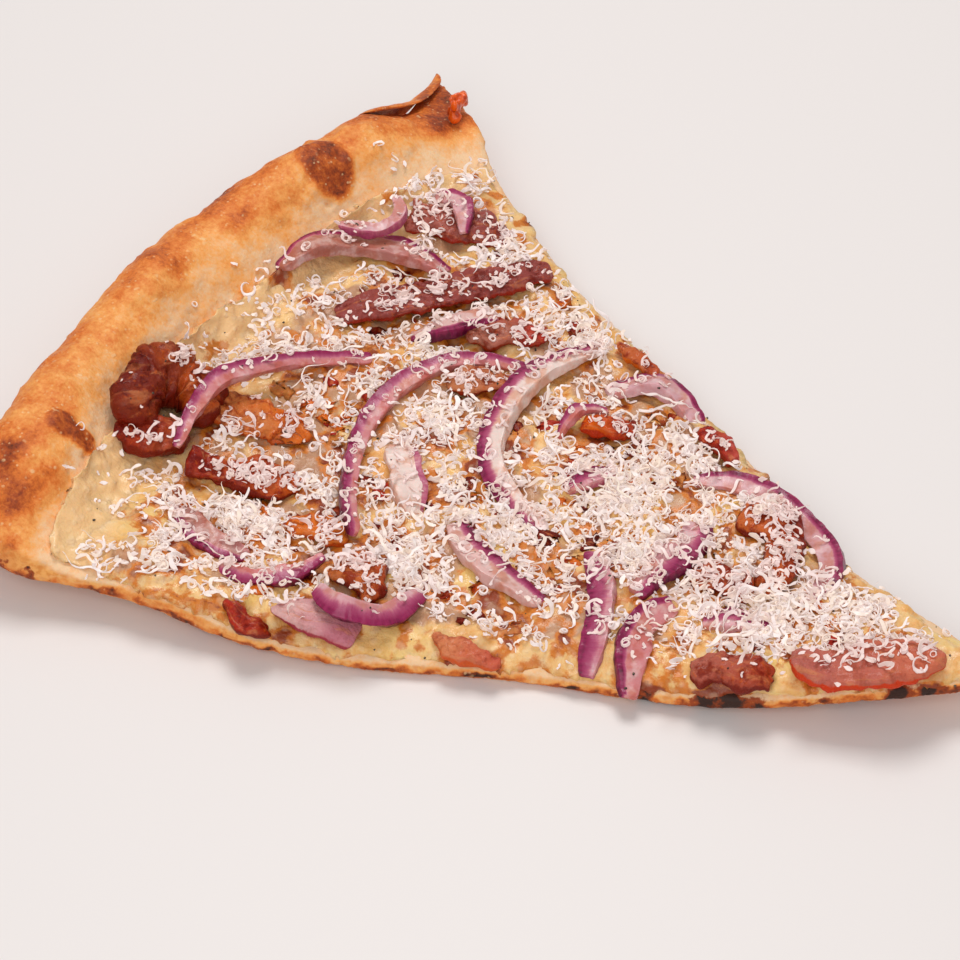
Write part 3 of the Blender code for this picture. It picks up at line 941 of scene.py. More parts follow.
@dataclass
class Crust:
    """The dough: its puffed rim, its blisters, its cut faces and the torn skin behind its far end.

    Attributes:
        nodes: The solids, by name.
        voxel: The size of the dough's faces.
        lip_voxel: The size of the torn skin's faces.
        bubbles: How many small bubbles the rim has.
        bubble_size: The smallest and the largest.
        bubble_rise: How high they stand, as a share of their size.
        pores: How many pores the cut faces have.
        pore_size: The smallest and the largest.
        pore_depth: How deep they are, as a share of their size.
        scorched: Where the rim is more toasted: x, y, radius, strength.
        blisters: The big ones: x, y, radius, toast.
        blister_rise: How high they stand.
    """

    nodes: dict[str, bpy.types.Object]
    voxel: float = 0.95
    lip_voxel: float = 0.5
    bubbles: int = 240
    bubble_size: tuple[float, float] = (0.9, 2.2)
    bubble_rise: tuple[float, float] = (0.12, 0.34)
    pores: int = 150
    pore_size: tuple[float, float] = (0.5, 1.3)
    pore_depth: tuple[float, float] = (0.3, 0.8)
    scorched: Spots = (
        (-110, 17, 10, 0.16),
        (-109, 29, 9, 0.14),
        (-109, -9, 10, 0.14),
        (-98, -82, 9, 0.10),
        (-92, -88, 7, 0.16),
        (-86, -82, 6, 0.26),
        (-90, -92, 8, 0.12),
        (-106, -64, 8, -0.18),
        (-83, 76, 5, 0.12),
        (-88, 83, 7, 0.10),
        (-96, 64, 6, 0.14),
        (-90, -14, 8, 0.30),
        (-95, 2, 9, 0.22),
        (-96, 22, 8, 0.20),
        (-90, 50, 7, 0.16),
        (-92, 74, 10, 0.16),
    )
    blisters: Spots = (
        (-98, 42.5, 7.0, 0.78),
        (-94, -69.5, 3.4, 0.80),
        (-90.5, -68.5, 3.0, 0.78),
    )
    blister_rise: float = 0.6

    def build(self, finish: bpy.types.Material) -> bpy.types.Object:
        """Shapes and colours the dough.

        Args:
            finish: The baked dough's material.

        Returns:
            The dressed piece.
        """
        piece = Bench.copy_of(self.nodes["dough"], "crust")
        Bench.even(piece, self.voxel, 3)
        points, normals = Bench.points(piece), Bench.normals(piece)
        Bench.place(piece, points + normals * self._relief(points, normals)[:, None])
        self._colour(piece, points, normals)
        Bench.dress(piece, finish, "baked_crust", "dough")
        return piece

    def _colour(self, piece: bpy.types.Object, points: np.ndarray, normals: np.ndarray) -> None:
        """Stores how toasted, how bready and how charred each place is.

        Args:
            piece: The dough.
            points: Its vertices in millimetres, before the relief.
            normals: The directions that they faced.
        """
        toast = self._toasted(points, normals)
        face, above, hollow, seam = self._cut_faces(points, normals)
        crumb = face * (1 - 0.6 * ease((Plan.polar(points)[0] - Plan.TOP) / 12))
        line = face * ease((3.2 - above + 2.2 * clouds(points, 3.0, 14)) / 1.1)
        toast = toast * (1 - line) + line * (0.70 + 0.6 * clouds(points, 4.0, 16))
        crumb *= 1 - line
        toast = np.maximum(toast, np.maximum(0.42 * hollow, 0.80 * seam))
        crumb *= 1 - np.maximum(hollow, seam)
        ragged = points + 2.4 * np.stack([clouds(points, 2.2, s) for s in (51, 52, 53)], axis=1)
        char = spots(ragged, CHARS) * ease((5.0 - above + 1.6 * clouds(points, 2.0, 8)) / 1.4)
        Bench.paint(piece, "toast", toast)
        Bench.paint(piece, "crumb", np.clip(crumb, 0, 1))
        Bench.paint(piece, "char", char)

    def _relief(self, points: np.ndarray, normals: np.ndarray) -> np.ndarray:
        """Swells, small bubbles on the rim, pores in the cut faces, and the big blisters.

        Args:
            points: The dough's vertices in millimetres.
            normals: The directions that they face.

        Returns:
            How far each vertex moves outward, in millimetres.
        """
        radius = Plan.polar(points)[0]
        rim = ease((radius - Plan.SWELLING) / 14)
        height = rim * (1.3 * clouds(points, 15.0) + 0.7 * clouds(points, 6.0, 5))
        height += 0.3 * clouds(points, 3.0, 9)
        rng = np.random.default_rng(7)
        crown = np.flatnonzero((radius > 221) & (normals[:, 2] > -0.2))
        for pick in rng.choice(crown, self.bubbles, replace=False):
            size = rng.uniform(*self.bubble_size)
            height += rng.uniform(*self.bubble_rise) * size * self._dot(points, pick, size)
        face = np.flatnonzero((np.abs(normals[:, 2]) < 0.6) & (radius < 226))
        for pick in rng.choice(face, self.pores, replace=False):
            size = rng.uniform(*self.pore_size)
            height -= rng.uniform(*self.pore_depth) * size * self._dot(points, pick, size)
        height += self.blister_rise * self._blistered(points)[0]
        resting = (normals[:, 2] < -0.8) & (Plan.lift(points) < 0.4)
        height[resting] = np.minimum(height[resting], 0.0)
        return height

    @staticmethod
    def _dot(points: np.ndarray, middle: int, size: float) -> np.ndarray:
        """How high a round dot of this size about one of the points stands at each, from 0 to 1."""
        away = ((points - points[middle]) ** 2).sum(axis=1)
        return np.exp(-away / (0.5 * size**2))

    def _toasted(self, points: np.ndarray, normals: np.ndarray) -> np.ndarray:
        """How toasted the skin is: most on the crown, the blisters and the underside.

        Args:
            points: The dough's vertices in millimetres.
            normals: The directions that they face.

        Returns:
            The toast at each, from 0 for pale to 1 for black.
        """
        radius, share = Plan.polar(points)
        crown = ease((radius - Plan.CROWN) / 12)
        streaks = clouds(points * (1.0, 0.45, 1.0), 7.0, 3)
        toast = 0.04 + 0.42 * crown + 0.26 * crown * streaks + 0.22 * clouds(points, 26.0, 1) * crown
        toast += 0.12 * ease((radius - Plan.OUTSIDE) / 8) + 0.10 * clouds(points, 9.0, 12)
        toast += spots(points, self.scorched) * ease((normals[:, 2] + 0.3) / 0.6)
        toast += 0.12 * ease((0.20 - share) / 0.16) * crown
        toast += 0.12 * ease((share - 0.86) / 0.12) * crown
        toast = 0.08 + (toast - 0.08) * (0.35 + 0.65 * ease((radius - Plan.FOOT) / 9))
        swollen, seared = self._blistered(points)
        toast = np.where(normals[:, 2] > 0, toast + swollen * (np.maximum(seared, toast) - toast), toast)
        under = ease((-normals[:, 2] - 0.2) / 0.5)
        return toast * (1 - under) + under * (0.50 + 0.5 * clouds(points, 9.0, 4))

    @staticmethod
    def _cut_faces(points: np.ndarray, normals: np.ndarray) -> tuple[np.ndarray, ...]:
        """Finds the faces that the cutter left.

        Args:
            points: The dough's vertices in millimetres.
            normals: The directions that they face.

        Returns:
            How far each vertex is on such a face, from 0 to 1, its height above the underside, and how far
            it is in the hollow of the near cut and on the seam over it.
        """
        radius, share = Plan.polar(points)
        outward = (points[:, :2] - Plan.TIP) / np.maximum(radius, 1)[:, None]
        along = np.abs((normals[:, :2] * outward).sum(axis=1))
        face = ease((0.75 - np.abs(normals[:, 2])) / 0.3) * ease((0.75 - along) / 0.3)
        above = points[:, 2] - Plan.lift(points)
        hollow, seam = gape(points, above, share * Plan.width(radius))
        return face, above, face * hollow, face * seam

    def _blistered(self, points: np.ndarray) -> tuple[np.ndarray, np.ndarray]:
        """Finds the big blisters.

        Args:
            points: Places in millimetres, one per row.

        Returns:
            How far each place lies on a blister, from 0 to 1, and how toasted that blister is.
        """
        swollen, seared = np.zeros(len(points)), np.zeros(len(points))
        for x, y, radius, toast in self.blisters:
            away = np.hypot(points[:, 0] - x, points[:, 1] - y) + 0.16 * radius * clouds(points, 4.0, 31)
            here = ease((1.25 - away / radius) / 0.4)
            seared = np.where(here > swollen, toast, seared)
            swollen = np.maximum(swollen, here)
        return swollen, seared

    def build_lip(self, finish: bpy.types.Material) -> bpy.types.Object:
        """Shapes and colours the torn skin behind the rim's far end, thinner toward its point.

        Args:
            finish: The baked dough's material.

        Returns:
            The dressed piece.
        """
        piece = Bench.copy_of(self.nodes["crust_lip"], "torn_skin")
        Bench.even(piece, self.lip_voxel, 1)
        points, normals = Bench.points(piece), Bench.normals(piece)
        along = points[:, 0] * 0.35 + points[:, 1] * 0.94
        part = (along - along.min()) / np.ptp(along)
        bends = [np.polyval(np.polyfit(part, points[:, axis], 2), part) for axis in range(3)]
        middle = np.stack(bends, axis=1)
        points = middle + (points - middle) * (0.95 - 0.55 * ease((part - 0.3) / 0.7))[:, None]
        Bench.place(piece, points + normals * (0.4 * clouds(points, 4.0, 2) - 0.1)[:, None])
        Bench.paint(piece, "toast", 0.64 + 0.4 * clouds(points, 6.0, 6))
        Bench.paint(piece, "crumb", np.zeros(len(points)))
        Bench.paint(piece, "char", np.zeros(len(points)))
        Bench.dress(piece, finish, "baked_crust", "crust_lip")
        return piece


@dataclass
class Melt:
    """The melted cheese and cream over the dough, and the bit that toasted at the far corner.

    Attributes:
        nodes: The solids, by name.
        voxel: The size of the layer's faces.
        nub_voxel: The size of the toasted bit's faces.
        sunk: How far the layer's underside is let into the dough.
        stretched: How much taller the toasted bit is than its solid.
        baked: Where the layer browned: x, y, radius, strength.
        pools: Where it is yellow: x, y, radius, strength.
    """

    nodes: dict[str, bpy.types.Object]
    voxel: float = 0.95
    nub_voxel: float = 0.35
    sunk: float = 1.6
    stretched: float = 2.6
    baked: Spots = (
        (-93, 11, 6, 1.1),
        (-98, 8, 4, 0.9),
        (-91, -17, 6, 0.9),
        (-82, 11, 5, 0.8),
        (-94, -32, 4, 0.6),
        (-91, 24, 4, 0.6),
        (-84, 61, 6, 0.8),
        (-86, 52, 5, 0.6),
        (-15, -14, 5, 0.5),
        (-9, -20, 6, 0.6),
        (21, -34, 7, 0.45),
        (33, -26, 6, 0.4),
        (-75, 61, 5, 0.6),
        (-74, 72, 6, 0.7),
        (1, 44, 6, 0.5),
        (4, 13, 6, 0.5),
        (-41, -61, 7, 0.5),
        (-35, -49, 6, 0.5),
        (12, -49, 8, 0.4),
        (21, -43, 7, 0.4),
        (86, -6, 4, 0.6),
        (-17, -26, 7, 0.5),
        (-60, 10, 8, 0.35),
        (-30, 8, 7, 0.35),
    )
    pools: Spots = (
        (-73, -75, 13, 1.0),
        (-80, -8, 11, 0.7),
        (-84, 4, 8, 0.6),
        (-86, 44, 8, 0.6),
        (-74, 68, 8, 0.7),
        (-16, -2, 9, 0.8),
        (-30, 60, 9, 0.8),
        (60, 4, 8, 0.5),
        (90, -10, 9, 0.2),
        (2, -70, 11, 0.7),
    )

    def build(self, finish: bpy.types.Material) -> bpy.types.Object:
        """Shapes and colours the melted layer.

        Args:
            finish: The melted cheese's material.

        Returns:
            The dressed piece.
        """
        piece = Bench.copy_of(self.nodes["cheese"], "melted_layer")
        points, normals = Bench.points(piece), Bench.normals(piece)
        points[:, 2] -= self.sunk * (normals[:, 2] < 0)
        Bench.place(piece, points)
        Bench.even(piece, self.voxel, 3)
        points, normals = Bench.points(piece), Bench.normals(piece)
        radius, share = Plan.polar(points)
        side = ease((0.8 - np.abs(normals[:, 2])) / 0.5)
        slope = ease((radius - Plan.THINNING) / 11)
        height = 1.7 * clouds(points, 8.0, 2) + 1.1 * clouds(points, 3.2, 7) + 0.5 * clouds(points, 1.7, 3)
        height += side * (1.9 * clouds(points, 7.0, 11) + 0.5)
        thinned = ease((radius - Plan.THINNING - 1) / 9) * (2.1 + 1.4 * clouds(points, 5.0, 19))
        height = height * (1 - 0.5 * slope) - thinned
        Bench.place(piece, points + normals * height[:, None])
        from_near_cut = share * Plan.width(radius)
        inside = ease((np.minimum(share, 1 - share) * Plan.width(radius) - 3) / 10) * (1 - slope)
        Bench.paint(piece, "bake", self._baked(points, side, slope, inside, from_near_cut))
        Bench.paint(piece, "slope", slope)
        Bench.paint(piece, "yellow", np.clip(spots(points, self.pools), 0, 1))
        # Mauve patches inside the toppings: partly stains, partly painted shade under the shreds
        Bench.paint(piece, "stain_and_shade", inside * (0.28 + 1.2 * clouds(points, 12.0, 27)))
        Bench.dress(piece, finish, "melted_cheese", "cheese")
        return piece

    def _baked(
        self,
        points: np.ndarray,
        side: np.ndarray,
        slope: np.ndarray,
        inside: np.ndarray,
        from_near_cut: np.ndarray,
    ) -> np.ndarray:
        """How brown the layer is: in spots, among the toppings, and along the near cut.

        Args:
            points: Its vertices in millimetres.
            side: How far each is on a side face, from 0 to 1.
            slope: How far each is up the rim, from 0 to 1.
            inside: How far each is from the layer's edges, from 0 to 1.
            from_near_cut: Their distances from the near cut.

        Returns:
            The browning of each vertex, from below 0 for none to 1 for brown.
        """
        noisy = 1.0 * clouds(points, 8.0, 13) + 0.8 * clouds(points, 3.4, 15)
        bake = spots(points, self.baked) + noisy * (1 - 0.6 * slope) - 0.25 * slope
        near = ease((13 - from_near_cut) / 10) * (1 - slope)
        bake += near * (0.28 + 0.5 * clouds(points, 6.0, 41))
        bake += 1.3 * side * np.minimum(spots(points, CHARS), 0.7)
        bake += -0.14 + 0.36 * inside + 0.12 * side
        hollow, seam = gape(points, points[:, 2] - Plan.lift(points), from_near_cut)
        return np.maximum(bake * (1 - hollow) + 0.30 * hollow, 0.66 * seam)

    def build_nub(self, finish: bpy.types.Material) -> bpy.types.Object:
        """Shapes the lump of toasted cheese at the far corner.

        Args:
            finish: The toasted cheese's material.

        Returns:
            The dressed piece.
        """
        piece = Bench.copy_of(self.nodes["cheese_nub"], "toasted_nub")
        Bench.even(piece, self.nub_voxel, 1)
        points, normals = Bench.points(piece), Bench.normals(piece)
        part = (points[:, 2] - points[:, 2].min()) / np.ptp(points[:, 2])
        points[:, 2] += self.stretched * ease(part)
        uneven = 2.3 * clouds(points, 2.4, 2) + 0.4 * clouds(points, 1.2, 5) - 0.2
        Bench.place(piece, points + normals * uneven[:, None])
        Bench.dress(piece, finish, "melted_cheese", "cheese_nub")
        return piece


@dataclass(frozen=True)
class Cooked:
    """How one piece of bacon came out of the oven.

    Attributes:
        face: The colour of its top.
        end: The colour of its far end, to the right.
        fringe: The colour of its edges.
        swell: How much larger it is than its solid, along X, Y and Z.
        folds: How deep its folds are, in millimetres.
        plump: How far its surface stands out from its solid's, in millimetres.
        mottle: How blotched and uneven it is, from 0 to 1.
        shift: How far it is moved from its solid, in millimetres.
    """

    face: Colour
    end: Colour
    fringe: Colour
    swell: tuple[float, float, float] = (1.0, 1.0, 1.0)
    folds: float = 0.25
    plump: float = 0.0
    mottle: float = 1.0
    shift: tuple[float, float, float] = (0.0, 0.0, -0.4)


RUSSET: Colour = (0.33, 0.024, 0.005)
RED: Colour = (0.46, 0.026, 0.012)
MAUVE: Colour = (0.31, 0.062, 0.052)
ROSE: Colour = (0.72, 0.40, 0.38)
SAND: Colour = (0.62, 0.22, 0.070)
AMBER: Colour = (0.70, 0.140, 0.006)
UMBER: Colour = (0.20, 0.012, 0.003)

COOKED = {
    "folded": Cooked(
        face=(0.17, 0.012, 0.006),
        end=(0.50, 0.080, 0.008),
        fringe=UMBER,
        swell=(0.84, 1.00, 0.74),
        folds=1.1,
        plump=3.0,
        mottle=0.9,
        shift=(3.3, -2.4, -0.9),
    ),
    "lobe": Cooked(
        RUSSET, (0.46, 0.080, 0.030), UMBER, (1.15, 1.35, 1.0), plump=0.5, shift=(-1.9, 4.4, 0.1)
    ),
    "tan": Cooked(SAND, AMBER, (0.48, 0.080, 0.010), folds=0.5),
    "dark": Cooked((0.30, 0.018, 0.008), (0.54, 0.090, 0.012), UMBER),
    "long": Cooked(MAUVE, MAUVE, (0.32, 0.020, 0.006)),
    "top": Cooked((0.42, 0.120, 0.090), MAUVE, (0.32, 0.020, 0.006)),
    "short": Cooked((0.42, 0.150, 0.100), RED, RUSSET),
    "ringed": Cooked((0.54, 0.190, 0.080), (0.50, 0.110, 0.040), RUSSET),
    "crisp": Cooked((0.78, 0.130, 0.004), (0.46, 0.040, 0.010), (0.46, 0.030, 0.004)),
    "edge": Cooked((0.60, 0.150, 0.040), (0.50, 0.080, 0.020), AMBER),
    "far": Cooked(RED, (0.52, 0.070, 0.050), RUSSET),
    "chunk": Cooked(
        (0.60, 0.130, 0.026), RUSSET, UMBER, (1.0, 1.3, 0.9), plump=0.6, shift=(0, 0, -0.9)
    ),
    "mid": Cooked((0.50, 0.120, 0.050), RUSSET, RUSSET, shift=(0, 0, -0.8)),
    "slab": Cooked(
        (0.46, 0.120, 0.080), (0.42, 0.050, 0.016), UMBER, folds=0.1, shift=(0, 0, -0.6)
    ),
    "tip": Cooked(
        (0.50, 0.130, 0.100), (0.60, 0.150, 0.080), (0.64, 0.045, 0.006), folds=0.0, mottle=0.4
    ),
    "corner": Cooked(RED, RUSSET, UMBER, shift=(0.4, -0.2, -0.7)),
    "ham": Cooked(
        ROSE, (0.56, 0.17, 0.22), (0.36, 0.030, 0.050), folds=0.0, mottle=0.3, shift=(0, 0, -0.7)
    ),
    "brown": Cooked(
        (0.58, 0.150, 0.034), (0.44, 0.060, 0.012), UMBER, (1.0, 1.3, 0.9), shift=(0, 0, -1.0)
    ),
    "gold": Cooked(AMBER, (0.66, 0.180, 0.020), (0.50, 0.070, 0.006)),
    "near": Cooked(
        (0.68, 0.220, 0.090), (0.60, 0.110, 0.060), (0.66, 0.100, 0.018), mottle=0.7, shift=(0, 0, -1.0)
    ),
}


@dataclass
class BaconPieces:
    """The chunks and slabs of bacon, each uneven, creased, and streaked along its length.

    Attributes:
        nodes: The solids, by name.
        voxel: The size of the pieces' faces.
        rightward: The direction on the ground from a piece's face colour to its end colour.
        streak: How far apart the streaks are along a piece, across it and upward.
        wander: How far the outlines stray from the solids'.
    """

    nodes: dict[str, bpy.types.Object]
    voxel: float = 0.55
    rightward: tuple[float, float] = (0.84, 0.54)
    streak: tuple[float, float, float] = (9.0, 1.7, 2.5)
    wander: float = 2.2

    def build(self, finish: bpy.types.Material) -> list[bpy.types.Object]:
        """Shapes and colours every piece of bacon.

        Args:
            finish: The bacon's material.

        Returns:
            The dressed pieces.
        """
        return [self._cook(kind, cooked, finish) for kind, cooked in sorted(COOKED.items())]

    def _cook(self, kind: str, cooked: Cooked, finish: bpy.types.Material) -> bpy.types.Object:
        """Shapes and colours one piece.

        Args:
            kind: Its solid's name, without the food.
            cooked: How it came out of the oven.
            finish: The bacon's material.

        Returns:
            The dressed piece.
        """
        piece = Bench.copy_of(self.nodes[f"bacon_{kind}"], f"bacon_{kind}_cooked")
        Bench.even(piece, self.voxel, 4)
        points, normals = Bench.points(piece), Bench.normals(piece)
        middle = (points.min(axis=0) + points.max(axis=0)) / 2
        points = middle + (points - middle) * cooked.swell + cooked.shift
        crease = creases(points * (1.0, 1.0, 0.6), 6.5, 14, 0.055)
        height = 1.2 * clouds(points, 4.5, 4) + 0.9 * clouds(points, 2.0, 6)
        height += 0.35 * clouds(points, 1.1, 8)
        height *= 0.3 + 0.7 * cooked.mottle
        height += cooked.plump - cooked.folds * crease
        stray = [clouds(points, 7.0, 21), clouds(points, 7.0, 33), np.zeros(len(points))]
        shaped = points + normals * height[:, None] + self.wander * np.stack(stray, axis=1)
        Bench.place(piece, shaped)
        # The folds and low places are passed on to be painted darker as shade
        self._colour(piece, points, normals, cooked, cooked.folds * crease - 0.5 * height)
        Bench.dress(piece, finish, "cooked_bacon", f"bacon_{kind}")
        return piece

    def _colour(
        self,
        piece: bpy.types.Object,
        points: np.ndarray,
        normals: np.ndarray,
        cooked: Cooked,
        hollow: np.ndarray,
    ) -> None:
        """Stores the streaks' direction, the colours, how near an edge each place is, and its painted fold
        shade.

        Args:
            piece: The piece.
            points: Its vertices in millimetres.
            normals: The directions that they face.
            cooked: Its colours.
            hollow: How deep in a fold or a low place each place is, to be painted darker as shade.
        """
        flat = points[:, :2] - points[:, :2].mean(axis=0)
        _, axes = np.linalg.eigh(np.cov(flat.T))
        along, across = flat @ axes[:, 1], flat @ axes[:, 0]
        right = flat @ np.array(self.rightward)
        part = ease((right - right.min()) / np.ptp(right) + 0.5 * clouds(points, 6.0, 17))[:, None]
        face = np.array(cooked.face) * (1 - part) + np.array(cooked.end) * part
        Bench.paint(piece, "strip", np.stack([along, across, points[:, 2]], axis=1) / self.streak)
        Bench.paint(piece, "edge", 0.8 * ease((0.75 - normals[:, 2]) / 0.9))
        # How deep in a fold or low place each vertex is: the finish paints it darker as shade
        Bench.paint(piece, "crease", hollow)
        Bench.paint(piece, "mottle", np.full(len(points), cooked.mottle))
        Bench.paint(piece, "face", face)
        Bench.paint(piece, "fringe", np.tile(cooked.fringe, (len(points), 1)))


class Side(Enum):
    """Which side of a strip the skin is on, seen along its path."""

    LEFT = 1
    RIGHT = -1


class Flesh(Enum):
    """The colour of a strip's flesh, by how clear it cooked and what shows through it."""

    WHITE = (0.82, 0.64, 0.58)
    PALE = (0.72, 0.45, 0.42)
    PINK = (0.64, 0.24, 0.25)
    CLEAR = (0.48, 0.21, 0.18)
    LILAC = (0.68, 0.38, 0.41)


@dataclass(frozen=True)
class Strip:
    """One strip of onion.

    Attributes:
        name: Its solid's name, without the kind.
        path: Points along its middle, in the cutting plan.
        width: Across it.
        height: Through it.
        lean: How far it is turned on its side, in degrees.
        skin: The side with the purple skin.
        depth: How much of its width is purple, from 0 to 1, or more where the skin faces up.
        flesh: The colour of the rest.
    """

    name: str
    path: Path
    width: float
    height: float
    lean: float
    skin: Side
    depth: float
    flesh: Flesh


LEFT, RIGHT = Side.LEFT, Side.RIGHT
WHITE, PALE, PINK, LILAC, CLEAR = Flesh.WHITE, Flesh.PALE, Flesh.PINK, Flesh.LILAC, Flesh.CLEAR

LONG_ARC = ((-75, -57), (-79, -47), (-80, -37), (-78, -27), (-74, -15), (-68, -5), (-60, 3))
BIG_ARC = ((-27, -53), (-37, -41), (-46, -23), (-48, -5), (-43, 10), (-33, 18), (-20, 21))
OPEN_RING = ((-13, 37), (-19, 25), (-22, 11), (-20, -3), (-14, -14), (-4, -21), (8, -25))
CRESCENT = ((-94, 11), (-92, 23), (-84, 33), (-73, 38), (-61, 38))
TAIL_ARC = ((28, 9), (38, 13), (51, 13), (64, 7), (71, -2), (71, -14))

STRIPS = (
    Strip("long_arc", LONG_ARC, 4.4, 3.2, 24, LEFT, 1.05, PINK),
    Strip("big_arc", BIG_ARC, 4.9, 3.4, 22, LEFT, 1.10, PINK),
    Strip("open_ring", OPEN_RING, 7.2, 3.4, 12, RIGHT, 1.00, WHITE),
    Strip("pale_arc", ((-5, 24), (2, 30), (10, 32), (19, 28)), 8.0, 3.0, -16, LEFT, 0.35, LILAC),
    Strip("crescent", CRESCENT, 9.6, 3.2, -18, LEFT, 0.40, CLEAR),
    Strip("hook", ((-90, 31), (-82, 36), (-79, 43), (-84, 49)), 3.6, 2.6, 0, RIGHT, 0.20, LILAC),
    Strip("curl", ((-78, 58), (-72, 59), (-67, 55), (-63, 49)), 4.8, 3.0, 12, LEFT, 0.60, LILAC),
    Strip("flat", ((-57, 15), (-49, 22), (-42, 32)), 7.4, 3.0, -12, RIGHT, 0.35, PALE),
    Strip("low_arc", ((-48, -77), (-40, -76), (-33, -70), (-29, -62)), 4.4, 3.8, 18, RIGHT, 1.30, PINK),
    Strip("bow", ((-23, -73), (-15, -75), (-7, -69), (-5, -57)), 5.8, 3.6, 28, RIGHT, 1.50, LILAC),
    Strip("broad", ((-11, -34), (-3, -40), (7, -43), (19, -44)), 7.6, 2.8, -6, LEFT, 0.80, PALE),
    Strip("upright", ((20, -25), (28, -33), (34, -44), (38, -56)), 6.4, 3.0, 10, RIGHT, 1.80, LILAC),
    Strip("fan", ((36, -31), (38, -20), (39, -10), (37, -3)), 9.0, 2.6, -8, RIGHT, 0.95, LILAC),
    Strip("dark_ring", ((49, -56), (45, -48), (42, -38), (45, -29)), 7.6, 3.2, 16, LEFT, 0.42, PINK),
    Strip("tail_arc", TAIL_ARC, 6.0, 3.0, 14, LEFT, 0.50, LILAC),
    Strip("short_arc", ((53, -30), (60, -27), (68, -26)), 6.4, 2.8, 0, LEFT, 1.60, LILAC),
    Strip("grey", ((-67, -67), (-56, -72), (-45, -70)), 7.0, 2.6, 0, RIGHT, 0.45, CLEAR),
    Strip("heart", ((-38, -19), (-30, -27), (-21, -37)), 8.6, 3.8, -10, LEFT, 0.12, WHITE),
    Strip("thread", ((-6, 3), (-5, 11), (-1, 18)), 2.8, 2.6, 0, LEFT, 1.10, PINK),
    Strip("lilac", ((4, -10), (8, -5), (12, 2)), 5.0, 2.6, 0, LEFT, 1.80, LILAC),
)


